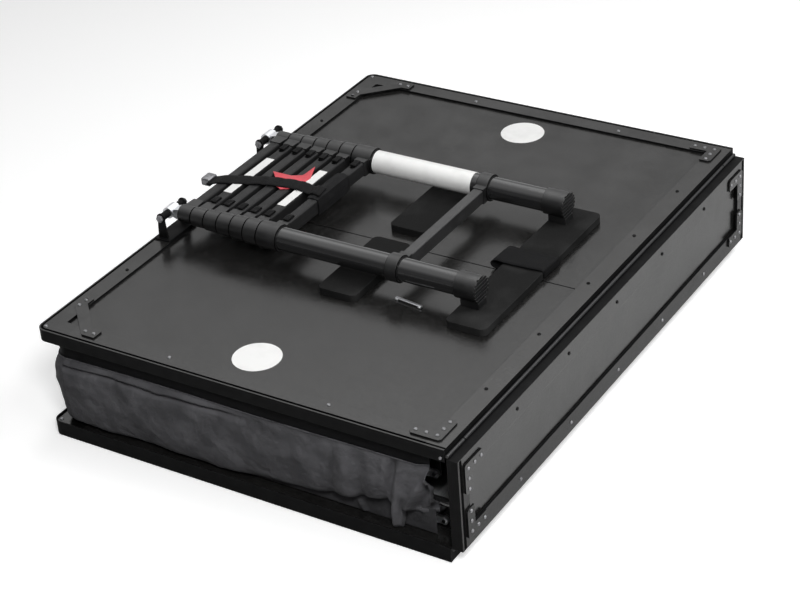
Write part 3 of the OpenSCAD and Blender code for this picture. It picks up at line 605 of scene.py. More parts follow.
def webbing_run(name, route, across, width, segments, sizes):
    """Strap along a route of points, with its width in the direction across."""
    span = sum((Vector(a) - Vector(b)).length for a, b in zip(route, route[1:]))

    def place(along, side):
        cup = 0.0006 * (1 - (2 * side - 1) ** 2)
        return curve_at(route, along) + across * width * (side - 0.5) + Vector((0, 0, cup))

    bm = cloth_grid(segments, 6, place, (span, width))
    bmesh.ops.recalc_face_normals(bm, faces=bm.faces)
    return add_thickness(piece_from(bm, name, "woven_webbing", sharp=60.0), sizes.webbing)


class TENT_OT_floor_halves(bpy.types.Operator):
    """Finish the floor halves, the spine, the hinges and the bows"""

    bl_idname = "tent.floor_halves"
    bl_label = "Floor Halves and Spine"

    def execute(self, context):
        dress("panel_coat", "base_panel", "lid_panel_front", "lid_panel_back")
        dress("spine_coat", "spine_panel")
        dress("rail_coat", "base_rim", "base_hinge_rail", "spine_frame", "spine_plates")
        dress("rail_coat", "lid_rim", "lid_hinge_rail", "lid_plates", "ladder_brackets")
        dress("bare_aluminium", "mounting_rails", "lower_bow", "upper_bow", "ladder_tongues")
        dress("tube_coat", "main_bow")
        dress("hinge_coat", "lower_hinge_base_leaf", "lower_hinge_spine_leaf", "upper_hinge_spine_leaf")
        dress("hinge_coat", "upper_hinge_lid_leaf", "hinge_pins")
        dress("zinc_steel", "spine_bolts", "lid_bolts", "pivot_bolts")
        self.flange_faces()
        return {"FINISHED"}

    def flange_faces(self):
        """The outer faces of the flanges and plates, which are as grey as the panels; their edges stay black."""

        def on_lid(face, points):
            return face.normal.z > 0.9 and face.center.z > LID_Z - FACE_SLACK

        def in_groove(face, points):
            deep = all(LID_Z - 0.0045 < p.z < LID_Z + FACE_SLACK for p in points)
            inside = all(min(p.x - FREE_X, END_Y - abs(p.y)) > 0.002 for p in points)
            return RIM_Z + 0.003 < face.center.z < LID_Z - FACE_SLACK and deep and inside

        def on_spine(face, points):
            return face.normal.x > 0.9 and face.center.x > SPINE_X - FACE_SLACK

        def in_head(points):
            return min(p.z for p in points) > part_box("spine_frame")[1][2] - SPINE_HEAD

        face_finish("lid_rim", "flange_coat", on_lid)
        face_finish("lid_hinge_rail", "hinge_flange_coat", on_lid)
        face_finish("lid_plates", "flange_coat", on_lid)
        # The inside of the lid's groove is painted black: painted shade.
        face_finish("lid_rim", "seal_rubber", in_groove)
        for node in ("spine_frame", "spine_plates"):
            # Below its head the spine's frame takes a duller copy of the coat: painted shade.
            face_finish(node, "frame_coat", lambda face, points: on_spine(face, points) and not in_head(points))
            face_finish(node, "spine_coat", lambda face, points: on_spine(face, points) and in_head(points))
        # The spine panel's inner faces get the black rail coat: painted shade for the inside of the tent.
        face_finish("spine_panel", "rail_coat", lambda face, points: face.normal.x < -0.5)
        # Bolts along the middle of the edges are made black with the rail coat, the rest stay plated: painted shade on
        # bolts that are the same.
        for node, end_y, axis, past in (("lid_bolts", 0.56, 0, 0.40), ("spine_bolts", 0.58, 2, 0.20)):
            face_finish(
                node,
                "rail_coat",
                lambda face, points: abs(face.center.y) < end_y and abs(face.center[axis]) > past,
            )


class TENT_OT_ladder(bpy.types.Operator):
    """Finish the telescopic ladder: tubes, rungs, collars, latches, feet and rests"""

    bl_idname = "tent.ladder"
    bl_label = "Ladder"

    def execute(self, context):
        tread = STILE_Y - LADDER_Y - TUBE_R - 0.004
        for k in range(1, 8):
            dress("moulded_plastic", f"ladder_collars_{k}")
            # The collars' chamfers are painted black: painted shade in the grooves between the collars.
            face_finish(f"ladder_collars_{k}", "seal_rubber", lambda face, points: 0.5 < abs(face.normal.x) < 0.9)
            dress("tube_coat", f"ladder_section_{k}")
            face_finish(f"ladder_section_{k}", "rung_coat", lambda face, points: abs(face.center.y - LADDER_Y) < tread)

        def on_step(face, points):
            return face.material_index == 1 and face.center.x > RUNG_X[6] + 0.1

        # The bottom rung takes a shinier copy of the rung coat: painted highlight.
        face_finish("ladder_section_7", "step_coat", on_step)
        dress("moulded_plastic", "ladder_feet", *LATCHES)
        dress("rest_foam", "ladder_rests")
        self.latch_pads()
        return {"FINISHED"}

    def latch_pads(self):
        """Thumb pads on the latches, ribbed across."""
        for latch in LATCHES:
            low, high = corners(latch)
            middle = (low + high) / 2
            bm = bmesh.new()
            rounded_block(bm, (0.0155, 0.0270, 0.0046), (middle.x, middle.y, high.z - 0.0004), 0.0018)
            for step in (-1, 0, 1):
                place = (middle.x, middle.y + 0.0058 * step, high.z + 0.0019)
                rounded_block(bm, (0.0115, 0.0022, 0.0014), place, 0.0006, 2)
            # The rail coat's paler edges on these pads are rubbed wear and a painted highlight.
            pad = piece_from(bm, latch.replace("latch", "latch_pad"), "rail_coat")
            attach(pad, latch)


class CanvasWall:
    """The U that the canvas follows round the three open sides, and the folds on it."""

    def __init__(self, sizes):
        self.sizes = sizes
        self.corner_x = FREE_X + sizes.canvas_inset + sizes.canvas_corner
        self.corner_y = END_Y - sizes.canvas_inset - sizes.canvas_corner
        self.end_x = HINGE_X - sizes.canvas_end
        self.straight = self.end_x - self.corner_x
        self.arc = sizes.canvas_corner * math.pi / 2
        self.run = 2 * (self.straight + self.arc) + 2 * self.corner_y

    def station(self, s):
        """Point and outward direction s metres from the front end."""
        sizes, flip = self.sizes, 1
        if s > self.run / 2:
            s, flip = self.run - s, -1
        if s < self.straight:
            return Vector((self.end_x - s, -flip * (END_Y - sizes.canvas_inset), 0)), Vector((0, -flip, 0))
        if s < self.straight + self.arc:
            turn = (s - self.straight) / sizes.canvas_corner
            out = Vector((-math.sin(turn), -flip * math.cos(turn), 0))
            return Vector((self.corner_x, -flip * self.corner_y, 0)) + out * sizes.canvas_corner, out
        past = s - self.straight - self.arc
        return Vector((FREE_X + sizes.canvas_inset, flip * (past - self.corner_y), 0)), Vector((-1, 0, 0))

    def columns(self, along):
        """Share of the run for a share of the columns, of which the front has more."""
        front = (self.straight + self.arc) / self.run
        return along / 0.55 * front if along < 0.55 else front + (along - 0.55) / 0.45 * (1 - front)

    def crease(self, s):
        """Height of the crease under the bulge, which rises along the front up to the tall fold."""
        x = self.station(s)[0].x
        front = 1.0 if s < self.run / 2 else 0.5
        low = FLOOR_Z + 0.003 + front * 0.063 * max(0.0, (x + 0.14) / 0.50) ** 2.2
        if front == 1.0:
            flap = smooth_step(0.350, 0.357, x) * smooth_step(0.392, 0.382, x)
            low += (FLOOR_Z + 0.002 - low) * flap
            low += (FLOOR_Z + 0.050 - low) * smooth_step(0.382, 0.392, x)
        return low

    def hinge_share(self, s):
        """How near a place is to either end of the canvas: 1 at the end, 0 from 0.2 m on."""
        return smooth_step(0.20, 0.02, min(s, self.run - s))

    def free_share(self, s):
        """1 along the free side, between its corners, and 0 on the ends."""
        return smooth_step(0.02, 0.12, min(s, self.run - s) - self.straight - self.arc)

    def slack(self, s, z):
        """How far the cloth stands out of its smooth shape."""
        near = self.hinge_share(s)
        tall = noise.noise((s * 6.5, z * 3.0, 3.1)) + 0.5 * noise.noise((s * 15.0, z * 6.0, 7.7))
        pulled = 1 - abs(noise.noise((s * 9.0 + z * 8.0, z * 11.0 - s * 3.0, 8.7)))
        crumple = noise.noise((s * 42.0, z * 48.0, 1.3)) + 0.6 * noise.noise((s * 85.0, z * 70.0, 4.3))
        gather = math.sin(s * 150.0 + 5.0 * noise.noise((s * 10.0, z * 9.0, 2.0))) * near
        return 0.0052 * tall + 0.0080 * (pulled - 0.8) + 0.0013 * crumple + 0.0022 * gather

    def front_folds(self, x, z):
        """Folds on the front: pillows, the tall fold, and the drape from the bow's end."""

        def leaning(top, bottom, high=0.20, low=0.03):
            return bottom + (top - bottom) * (z - low) / (high - low)

        def ridge(at, width):
            return math.exp(-(((x - at) / width) ** 2))

        puffed = smooth_step(0.205, 0.13, z)
        pillows = 0.005 * ridge(0.165, 0.035) + 0.008 * ridge(0.250, 0.028) + 0.007 * ridge(0.322, 0.024)
        tucks = 0.006 * ridge(leaning(0.225, 0.205), 0.012) + 0.008 * ridge(leaning(0.292, 0.280), 0.012)
        rise = puffed * pillows - puffed * tucks
        rise += 0.011 * ridge(leaning(0.391, 0.362), 0.009) - 0.014 * ridge(leaning(0.371, 0.350), 0.008)
        rise += 0.0025 * ridge(0.25 * (z - 0.37), 0.016) * smooth_step(0.10, 0.14, z) * smooth_step(0.20, 0.17, z)
        line = leaning(0.445, 0.389, 0.186, 0.083)
        hung = smooth_step(0.075, 0.10, z) * smooth_step(0.205, 0.19, z)
        rise += hung * (0.008 * ridge(line, 0.008) - 0.022 * smooth_step(line + 0.005, line + 0.026, x))
        return rise + 0.020 * ridge(0.4535, 0.0035) * smooth_step(0.11, 0.125, z) * smooth_step(0.20, 0.19, z)

    def hem(self, x, z, band):
        """The roll under the band at the free end of the front, with the crease below it."""
        deep = 0.016 + 0.006 * math.exp(-(((x + 0.23) / 0.11) ** 2))
        crease = band - deep
        share = (z - crease) / deep
        roll = 0.0065 * math.sin(math.pi * share) if 0 < share < 1 else 0.0
        return smooth_step(0.04, -0.12, x) * (roll - 0.0085 * math.exp(-(((z - crease) / 0.0042) ** 2)))

    def upper(self, s, share):
        """Point on the upper cloth: band, bulge, crease and the part turned up behind it."""
        base, out = self.station(s)
        front = s < self.straight
        low, full = self.crease(s), self.sizes.canvas_bulge
        if front:
            full += 0.005 * smooth_step(0.10, -0.30, base.x)
        free = smooth_step(-0.15, 0.02, min(s, self.run - s) - self.straight)
        full += 0.004 * free + 0.0195 * self.free_share(s)
        band = self.sizes.band_low + 0.003 * noise.noise((s * 3.0, 0.5, 0.5))
        profile = [
            (-0.010, CEILING_Z - 0.002),
            (-0.004, RIM_Z + 0.002),
            (0.003, (RIM_Z + band) / 2),
            (0.006, band),
            (full * (0.66 + 0.34 * free), band * 0.86 + low * 0.14),
            (full * (0.92 + 0.10 * free), band * 0.66 + low * 0.34),
            (full * (1.00 - 0.12 * free), band * 0.44 + low * 0.56),
            (full * (0.92 - 0.26 * free), band * 0.24 + low * 0.76),
            (full * (0.62 - 0.16 * free), band * 0.08 + low * 0.92),
            (full * 0.05, low),
            (-0.0015, low + 0.003),
            (-0.0045, low + 0.010),
        ]
        share = self.rows(share)
        o, z, _ = curve_at([(*point, 0.0) for point in profile], share)
        loose = smooth_step(0.27, 0.36, share) * smooth_step(0.97, 0.80, share)
        o += loose * self.slack(s, z)
        ends = self.hinge_share(s) * smooth_step(0.20, 0.32, share)
        drawn = 0.006 * ends * smooth_step(0.150, 0.200, z)
        o -= 0.012 * smooth_step(0.030, 0.0, min(s, self.run - s)) * smooth_step(0.2, 0.3, share)
        if front:
            folds = loose * self.front_folds(base.x - drawn, z)
            o += folds + smooth_step(0.26, 0.30, share) * self.hem(base.x, z, band)
        shift = Vector((-drawn, 0, 0)) if front or s > self.run - self.straight else Vector()
        return base + out * o + shift + Vector((0, 0, z))

    def rows(self, share):
        """Share of the profile for a share of the rows, of which the bulge has more."""
        marks = ((0.0, 0.0), (BAND_SHARE, 3 / 11), (0.85, 9 / 11), (1.0, 1.0))
        for (start, low), (end, high) in zip(marks, marks[1:]):
            if share <= end:
                return low + (high - low) * (share - start) / (end - start)
        return 1.0

    def lower(self, s, share):
        """Point on the lower cloth: from the floor up behind the bulge."""
        base, out = self.station(s)
        low = self.crease(s)
        z = FLOOR_Z + 0.0015 + (max(SPINE_RING_Z, low + 0.012) - FLOOR_Z - 0.0015) * share
        o = -0.0085 + 0.0085 * self.free_share(s) * smooth_step(low + 0.012, low + 0.026, z)
        if s < self.straight:
            lean = base.x - 0.269 - (0.064 - z) / 1.74
            ridge = 0.008 * math.exp(-((lean / 0.007) ** 2))
            o += ridge * smooth_step(0.0, 0.1, share) * smooth_step(0.064, 0.055, z)
        o += smooth_step(0.05, 0.2, share) * 0.3 * self.slack(s + 0.9, z * 2.0)
        return base + out * o + Vector((0, 0, z))

    def bead(self, s, share):
        """Point on the welt that is sewn under the band."""
        out = self.station(s)[1]
        at = self.upper(s, BAND_SHARE) + out * 0.001
        turn = 2 * math.pi * share
        return at + self.sizes.welt * (out * math.cos(turn) + Vector((0, 0, math.sin(turn))))


class TENT_OT_canvas(bpy.types.Operator):
    """Hang the folded canvas between the floor halves"""

    bl_idname = "tent.canvas"
    bl_label = "Canvas"

    def execute(self, context):
        sizes = context.scene.tent_sizes
        wall = CanvasWall(sizes)

        def grid(columns, rows, place, height):
            return cloth_grid(columns, rows, lambda u, v: place(u * wall.run, v), (wall.run, height), wall.columns)

        bm = grid(600, 78, wall.upper, UPPER_MAP)
        for face in bm.faces:
            up = sum(loop[bm.loops.layers.uv[0]].uv.y for loop in face.loops) / len(face.loops)
            face.material_index = 1 if up < UPPER_MAP * BAND_SHARE else 0
        upper = piece_from(bm, "canvas_upper_cloth", "canvas_cloth", "coated_band", sharp=75.0)
        # The lower cloth takes the darker copy of the canvas: painted shade.
        lower = piece_from(grid(500, 56, wall.lower, 0.0665), "canvas_lower_cloth", "canvas_skirt", sharp=75.0)
        bm = grid(600, 8, wall.bead, 0.016)
        bmesh.ops.remove_doubles(bm, verts=bm.verts, dist=0.00001)
        bmesh.ops.holes_fill(bm, edges=[edge for edge in bm.edges if edge.is_boundary], sides=0)
        bmesh.ops.recalc_face_normals(bm, faces=bm.faces)
        welt = piece_from(bm, "canvas_welt", "canvas_cloth", sharp=75.0)
        for cloth in (upper, lower):
            add_thickness(cloth, sizes.canvas_thick)
        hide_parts("canvas_upper")
        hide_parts("canvas_lower")
        for cloth in (upper, welt):
            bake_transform(cloth)
        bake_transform(lower)
        return {"FINISHED"}


class TENT_OT_mattress(bpy.types.Operator):
    """Lay the two mattress halves on the floor halves"""

    bl_idname = "tent.mattress"
    bl_label = "Mattress"

    def execute(self, context):
        for node, body, up in (("base_mattress", "base", 1), ("lid_mattress", "lid", -1)):
            low, high = corners(node)
            middle, half = (low + high) / 2, (high - low) / 2
            bm = bmesh.new()
            bmesh.ops.create_cube(bm, size=2.0)
            bmesh.ops.subdivide_edges(bm, edges=bm.edges[:], cuts=23, use_grid_fill=True)
            for vert in bm.verts:
                x, y, z = vert.co
                edge = (1 - abs(x) ** 5) * (1 - abs(y) ** 7)
                channel = max(math.exp(-(((x - c) / 0.035) ** 2)) for c in (-0.5, 0.0, 0.5))
                crown = context.scene.tent_sizes.mattress_crown * (1 - edge)
                crown += 0.005 * channel * edge + 0.0012 * noise.noise((x * 7, y * 9, z + up))
                pulled = 1 - 0.016 * (1 - y * y) * abs(x) ** 4 - 0.012 * (z * up + 1)
                tucked = 1 - 0.010 * (1 - x * x) * abs(y) ** 4 - 0.008 * (z * up + 1)
                sunk = up * crown * max(0.0, z * up)
                vert.co = Vector((x * half.x * pulled, y * half.y * tucked, z * half.z - sunk))
            bmesh.ops.translate(bm, vec=middle, verts=bm.verts)
            axes = {f"use_axis_{axis}": True for axis in "xyz"}
            bmesh.ops.smooth_vert(bm, verts=bm.verts, factor=0.5, **axes)
            half_pad = piece_from(bm, f"{body}_mattress_pad", "mattress_ticking", sharp=80.0)
            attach(half_pad, body)
            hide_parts(node)
        return {"FINISHED"}


class TENT_OT_straps(bpy.types.Operator):
    """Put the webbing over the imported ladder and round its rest, with the pull and the end fitting"""

    bl_idname = "tent.straps"
    bl_label = "Straps"

    def execute(self, context):
        sizes = context.scene.tent_sizes
        self.over_rungs(sizes)
        self.round_rest(sizes)
        self.pull_and_fitting(sizes)
        return {"FINISHED"}

    def over_rungs(self, sizes):
        """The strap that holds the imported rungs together, and the sleeve on the last one that it runs into."""
        rise = RUNG_TOP + 0.003
        last = RUNG_X[6]
        low, high = corners("ladder_strap")

        def crossing(x):
            bend = -0.049 * max(0.0, (-0.27 - x) / 0.206) ** 1.8 - 0.17 * max(0.0, x + 0.27)
            return -0.016 + bend

        def over_pull(x):
            return sizes.pull * smooth_step(-0.405, -0.385, x) * smooth_step(-0.272, -0.285, x)

        route = [(RUNG_X[0] - 0.047, -0.066, rise - 0.013), (RUNG_X[0] - 0.030, -0.066, rise - 0.007)]
        for near, far in zip(RUNG_X, RUNG_X[1:]):
            for x, drop in ((near - 0.008, 0.0), (near + 0.008, 0.0), ((near + far) / 2, 0.0012)):
                if x < last - 0.024:
                    route.append((x, crossing(x), rise - drop + over_pull(x)))
        route += [(last + x, crossing(last + x), high.z + 0.0026) for x in (-0.012, 0.0, 0.010)]
        across = Vector((-0.139, 0.990, 0.0))
        strap = webbing_run("ladder_strap_webbing", route, across, sizes.ladder_strap, 150, sizes)
        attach(strap, "ladder_7")
        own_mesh(strap)
        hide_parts("ladder_strap")

        half = Vector((high.x - last, 0, (high.z - low.z) / 2))
        middle = (high.z + low.z) / 2

        def round_rung(along, share):
            turn = 2 * math.pi * share
            flat = Vector((math.cos(turn), 0, math.sin(turn)))
            side = max(abs(flat.x), abs(flat.z))
            puff = 1 - 0.10 * abs(2 * along - 1) ** 6 + 0.03 * noise.noise((along * 7, flat.x * 1.5, flat.z * 1.5))
            at = flat / side * (0.86 + 0.14 * side**6) * puff
            return Vector((last + at.x * half.x, -0.055 + 0.134 * along, middle + at.z * half.z))

        bm = cloth_grid(54, 48, round_rung, (0.134, 0.16))
        bmesh.ops.remove_doubles(bm, verts=bm.verts, dist=0.00001)
        bmesh.ops.recalc_face_normals(bm, faces=bm.faces)
        sleeve = add_thickness(piece_from(bm, "rung_sleeve", "sleeve_cloth", sharp=70.0), sizes.webbing)
        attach(sleeve, "ladder_7")

    def round_rest(self, sizes):
        """The strap tied round the long rest, with its loose loop."""
        low, high = corners("rest_strap")
        y = (low.y + high.y) / 2
        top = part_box("ladder_rests")[1][2] + 0.0028
        right, left = high.x - 0.001, low.x
        route = [
            (right, y + 0.004, PANEL_Z + 0.003),
            (right - 0.0005, y + 0.004, top - 0.006),
            (right - 0.006, y + 0.003, top),
            (right - 0.040, y, top + 0.0006),
            (right - 0.075, y - 0.001, top + 0.0004),
            (left + 0.030, y - 0.002, top + 0.0012),
            (left + 0.012, y - 0.003, top + 0.0030),
            (left + 0.001, y - 0.004, top - 0.003),
            (left + 0.004, y - 0.004, top - 0.012),
            (left + 0.016, y - 0.002, PANEL_Z + 0.004),
            (left + 0.022, y - 0.001, PANEL_Z + 0.0035),
        ]
        across = Vector((0.05, 0.998, 0.0))
        strap = webbing_run("rest_strap_webbing", route, across, sizes.rest_strap, 110, sizes)
        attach(strap, "lid")
        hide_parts("rest_strap")

    def pull_and_fitting(self, sizes):
        """The red pull under the strap and the fitting at the strap's end."""
        rise = RUNG_TOP + 0.0004
        outline = ((-0.383, 0.016), (-0.367, 0.0), (-0.336, -0.040), (-0.319, -0.048), (-0.290, -0.029))
        outline += ((-0.2835, 0.028), (-0.300, 0.074), (-0.308, 0.032), (-0.332, 0.0185))
        bm = bmesh.new()
        bm.faces.new([bm.verts.new((x, y, rise)) for x, y in outline])
        for step in range(1, 29):
            cut = (0, -0.048 + 0.004 * step, rise)
            whole = bm.verts[:] + bm.edges[:] + bm.faces[:]
            bmesh.ops.bisect_plane(bm, geom=whole, plane_co=cut, plane_no=(0, 1, 0))
        for vert in bm.verts:
            x, y, _ = vert.co
            vert.co.z += 0.004 * smooth_step(0.030, 0.080, y) + 0.002 * smooth_step(-0.350, -0.383, x)
        bmesh.ops.recalc_face_normals(bm, faces=bm.faces)
        pull = piece_from(bm, "strap_pull", "pull_plastic")
        thick = add_thickness(pull, sizes.pull).modifiers[0]
        thick.offset = 1.0
        soft = pull.modifiers.new("edges", "BEVEL")
        soft.width, soft.segments, soft.limit_method = 0.0007, 2, "ANGLE"
        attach(pull, "ladder_7")
        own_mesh(pull)
        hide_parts("strap_buckle")

        bm = bmesh.new()
        rounded_block(bm, (0.026, 0.034, 0.020), (RUNG_X[0] - 0.052, -0.060, RUNG_TOP - 0.011), 0.004)
        fitting = piece_from(bm, "strap_end_fitting", "zinc_steel")
        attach(fitting, "ladder_7")
        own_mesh(fitting)


class TENT_OT_labels(bpy.types.Operator):
    """Stick the bare discs, the stile label and the rung strips on"""

    bl_idname = "tent.labels"
    bl_label = "Bare Labels"

    def execute(self, context):
        sizes = context.scene.tent_sizes
        for name, x, y in (("disc_near", -0.0303, -0.5753), ("disc_far", -0.0078, 0.5693)):
            bm = bmesh.new()
            place = (x, y, PANEL_Z + sizes.label / 2)
            round_head(bm, sizes.disc, sizes.disc - 0.0003, sizes.label, place, segments=72)
            disc = piece_from(bm, name, "vinyl_label")
            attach(disc, "lid")
        for name, k in (("rung_strip_2", 2), ("rung_strip_6", 6)):
            bm = bmesh.new()
            place = (RUNG_X[k - 1], -0.0185, RUNG_TOP + sizes.label / 2)
            rounded_block(bm, (0.0225, 0.183, sizes.label), place, 0.0002, 1)
            strip = piece_from(bm, name, "vinyl_label")
            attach(strip, f"ladder_{k}")
        bm = bmesh.new()
        ends = (-0.1977 + at * sizes.label_length for at in (0, 1))
        edge = [bm.verts.new((x, STILE_Y, LADDER_Z + TUBE_R + 0.0001)) for x in ends]
        bm.edges.new(edge)
        axle = (0, STILE_Y, LADDER_Z)
        bmesh.ops.rotate(bm, cent=axle, matrix=Matrix.Rotation(math.radians(-55), 3, "X"), verts=edge)
        sweep = {"axis": (1, 0, 0), "angle": math.radians(200), "steps": 40}
        bmesh.ops.spin(bm, geom=bm.verts[:] + bm.edges[:], cent=axle, **sweep)
        bmesh.ops.recalc_face_normals(bm, faces=bm.faces)
        bmesh.ops.solidify(bm, geom=bm.faces[:], thickness=-sizes.label)
        wrap = piece_from(in_order(bm), "stile_label", "vinyl_label")
        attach(wrap, "ladder_7")
        return {"FINISHED"}


class TENT_OT_fittings(bpy.types.Operator):
    """Add the small fittings: the strap bar, bolts, screws, hinge ends, seams, the painted groove shade at the lid's
    ends and the lid's joint
    """

    bl_idname = "tent.fittings"
    bl_label = "Small Fittings"

    def execute(self, context):
        bm = bmesh.new()
        rounded_block(bm, (0.074, 0.007, 0.0035), (0, 0, 0.0045), 0.0014)
        for x in (-0.032, 0.032):
            rounded_block(bm, (0.008, 0.010, 0.0045), (x, 0, 0.0023), 0.0014)
        bmesh.ops.rotate(bm, cent=(0, 0, 0), matrix=Matrix.Rotation(math.radians(-7.8), 3, "Z"), verts=bm.verts)
        bmesh.ops.translate(bm, vec=(0.154, -0.251, PANEL_Z), verts=bm.verts)
        bar = piece_from(bm, "lid_strap_bar", "bare_aluminium")
        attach(bar, "lid")
        bm = bmesh.new()
        for side in (-1, 1):
            place = (FREE_X + 0.0155, side * (END_Y - 0.0155), FLOOR_Z + 0.0012)
            round_head(bm, 0.0045, 0.0034, 0.0024, place)
        bolts = piece_from(bm, "base_corner_bolts", "zinc_steel")
        bm = bmesh.new()
        for side in (-1, 1):
            place = (HINGE_X - 0.009, side * (END_Y + 0.0006), LID_Z - 0.022)
            round_head(bm, 0.0042, 0.0032, 0.0024, place, -side * math.pi / 2)
        screws = piece_from(bm, "lid_end_screws", "zinc_steel")
        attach(screws, "lid")
        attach(bolts, "base")
        low, high = corners("spine_frame")
        middle = (low + high) / 2
        self.hinge_ends(low.z - FLOOR_Z - 0.0004)
        start, end = FREE_X + 0.030, HINGE_X - 0.046
        joint = ((end + start) / 2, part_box("lid_panel_front")[1][1], PANEL_Z)
        upright = (0.0006, 0.009, high.z - low.z - 0.004)
        for name, body, size, place, sides in (
            # The dark strips at the lid's ends carry its groove on as painted shade, with no groove under them.
            ("lid_seams", "lid", (0.046, 0.005, 0.0006), (HINGE_X - 0.023, END_Y - 0.0065, LID_Z), (-1, 1)),
            ("lid_joint", "lid", (end - start, 0.0022, 0.0006), joint, (1,)),
            ("spine_seams", "spine", upright, (high.x, END_Y - 0.0105, middle.z), (-1, 1)),
        ):
            bm = bmesh.new()
            for side in sides:
                rounded_block(bm, size, (place[0], side * place[1], place[2]), 0.0002, 1)
            seams = piece_from(bm, name, "seal_rubber")
            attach(seams, body)
        return {"FINISHED"}

    def hinge_ends(self, radius):
        """Round rods on the hinge axes that close the gaps between the hinges and the tent's ends."""
        low, high = corners("hinge_pins")
        pin = (high.x - low.x) / 2
        start, end = high.y + 0.0005, END_Y - 0.003
        bm = bmesh.new()
        for z in (low.z + pin, high.z - pin):
            for side in (-1, 1):
                place = (low.x + pin, side * (start + end) / 2, z)
                round_head(bm, radius, radius, end - start, place, math.pi / 2)
        rods = piece_from(bm, "hinge_ends", "hinge_coat")
        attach(rods, "spine")


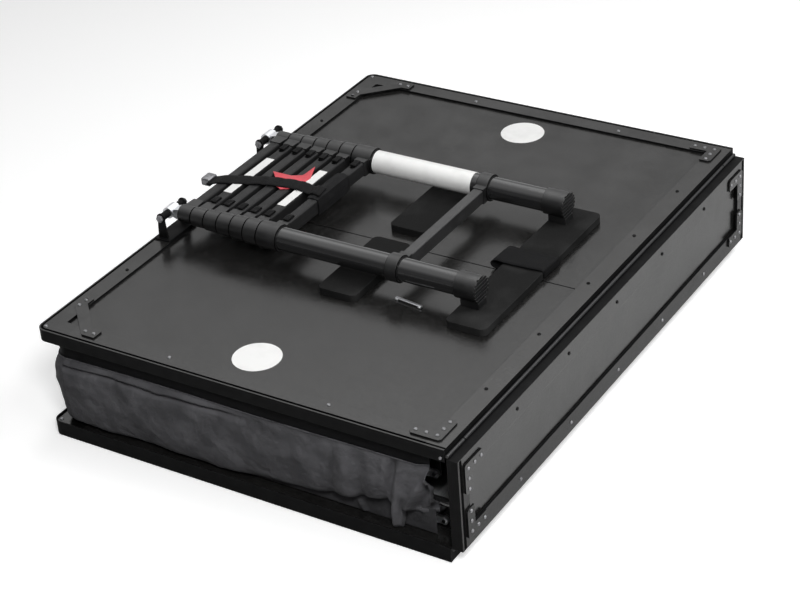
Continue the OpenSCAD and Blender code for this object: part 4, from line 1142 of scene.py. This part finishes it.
class TENT_OT_stage(bpy.types.Operator):
    """Set up the floor, the soft studio light, the world and the camera"""

    bl_idname = "tent.stage"
    bl_label = "Stage"

    def execute(self, context):
        self.floor(context.scene)
        self.lights(context.scene)
        self.camera(context.scene)
        context.scene.view_settings.view_transform = "Standard"
        return {"FINISHED"}

    def floor(self, scene):
        """Pale floor that stays white around the object's shadow."""
        bm = bmesh.new()
        bmesh.ops.create_grid(bm, x_segments=4, y_segments=4, size=30.0)
        mesh = bpy.data.meshes.new("studio_floor")
        bm.to_mesh(mesh)
        bm.free()
        pale = Finish("floor_paint", scene.tent_colours.bounce, 0.9, shine=0.0)
        path, seen = pale.seen_rays()
        pale.tint(seen, scene.tent_colours.floor)
        pale.set("Emission Color", (1.0, 1.0, 1.0, 1.0))
        pale.tree.links.new(pale.times(path["Is Camera Ray"], 0.42), pale.shader.inputs["Emission Strength"])
        mesh.materials.append(pale.material)
        ground = bpy.data.objects.new("studio_floor", mesh)
        scene.collection.objects.link(ground)

    def lights(self, scene):
        """Large soft lamps."""
        aim = Vector((0.0, 0.0, 0.25))
        for name, place, size, power in (
            ("key_light", (2.4, 1.0, 3.2), (2.0, 2.0), 80.0),
            ("side_light", (3.9, -1.2, 2.0), (1.6, 1.6), 34.0),
            ("fill_light", (1.7, -2.4, 2.9), (0.8, 0.8), 62.0),
            ("strip_light", (-0.3, -0.1, 3.0), (2.6, 0.4), 25.0),
        ):
            lamp = bpy.data.lights.new(name, "AREA")
            lamp.shape = "RECTANGLE"
            lamp.size, lamp.size_y = size
            lamp.energy = power
            holder = bpy.data.objects.new(name, lamp)
            holder.location = place
            holder.rotation_euler = (aim - Vector(place)).to_track_quat("-Z", "Y").to_euler()
            scene.collection.objects.link(holder)
        self.world(scene)

    def world(self, scene):
        """White behind the object, dim as light, and in mirrors a studio that is brighter at one end."""
        world = bpy.data.worlds.new("studio")
        world.use_nodes = True
        nodes = Nodes(world.node_tree)
        shown = nodes.tree.nodes["Background"].inputs
        shown["Color"].default_value = (1.0, 1.0, 1.0, 1.0)
        path, seen = nodes.seen_rays()
        way = nodes.node("ShaderNodeTexCoord").outputs["Generated"]
        height = nodes.node("ShaderNodeSeparateXYZ", {0: way}).outputs[2]
        sky = nodes.node("ShaderNodeValToRGB", {"Fac": height})
        while len(sky.color_ramp.elements) < len(SKY):
            sky.color_ramp.elements.new(0.5)
        for element, (at, value) in zip(sky.color_ramp.elements, SKY):
            element.position = at
            element.color = (value, value, value, 1.0)
        behind = nodes.node("ShaderNodeVectorMath", {0: way}, operation="DOT_PRODUCT")
        behind.inputs[1].default_value = BRIGHT_END
        front = nodes.spread(behind.outputs["Value"], -0.4, 0.7, 0.25, 1.15)
        white = nodes.work_out("MAXIMUM", nodes.times(sky.outputs["Color"], front), path["Is Camera Ray"])
        level = nodes.node("ShaderNodeMapRange", {"Value": seen, "To Max": white}, to_min=0.11)
        nodes.tree.links.new(level.outputs["Result"], shown["Strength"])
        scene.world = world

    def camera(self, scene):
        """Camera at the photograph's viewing angle."""
        azimuth, elevation, roll = math.radians(33.82), math.radians(31.62), math.radians(-4.578)
        flat = math.cos(elevation)
        back = Vector((math.sin(azimuth) * flat, -math.cos(azimuth) * flat, math.sin(elevation)))
        target = Vector((0.01266, -0.07408, 0.152))
        lens = bpy.data.cameras.new("photo_camera")
        lens.sensor_fit = "HORIZONTAL"
        lens.sensor_width = 36.0
        lens.lens = 95.55
        lens.clip_end = 100.0
        holder = bpy.data.objects.new("photo_camera", lens)
        turn = back.to_track_quat("Z", "Y").to_matrix() @ Matrix.Rotation(roll, 3, "Z")
        holder.matrix_world = Matrix.Translation(target + back * 4.9477) @ turn.to_4x4()
        scene.collection.objects.link(holder)
        scene.camera = holder


class TENT_PT_sidebar(bpy.types.Panel):
    """Sidebar panel with the sizes, the colours and one button for each group of pieces"""

    bl_idname = "TENT_PT_sidebar"
    bl_label = "Roof Top Tent"
    bl_space_type = "VIEW_3D"
    bl_region_type = "UI"
    bl_category = "Tent"

    def draw(self, context):
        for step in STEPS:
            self.layout.operator(step.bl_idname)
        for group in (context.scene.tent_sizes, context.scene.tent_colours):
            column = self.layout.column()
            for key in group.__annotations__:
                column.prop(group, key)


STEPS = (
    TENT_OT_floor_halves,
    TENT_OT_ladder,
    TENT_OT_canvas,
    TENT_OT_mattress,
    TENT_OT_straps,
    TENT_OT_labels,
    TENT_OT_fittings,
    TENT_OT_stage,
)
CLASSES = (TentSizes, TentColours, *STEPS, TENT_PT_sidebar)


def register():
    """Registers the classes and the scene's properties."""
    for made in CLASSES:
        bpy.utils.register_class(made)
    bpy.types.Scene.tent_sizes = PointerProperty(type=TentSizes)
    bpy.types.Scene.tent_colours = PointerProperty(type=TentColours)


def unregister():
    """Takes them away again."""
    del bpy.types.Scene.tent_colours
    del bpy.types.Scene.tent_sizes
    for made in reversed(CLASSES):
        bpy.utils.unregister_class(made)


def main():
    """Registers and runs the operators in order."""
    register()
    bpy.ops.tent.floor_halves()
    bpy.ops.tent.ladder()
    bpy.ops.tent.canvas()
    bpy.ops.tent.mattress()
    bpy.ops.tent.straps()
    bpy.ops.tent.labels()
    bpy.ops.tent.fittings()
    bpy.ops.tent.stage()


if __name__ == "__main__":
    main()
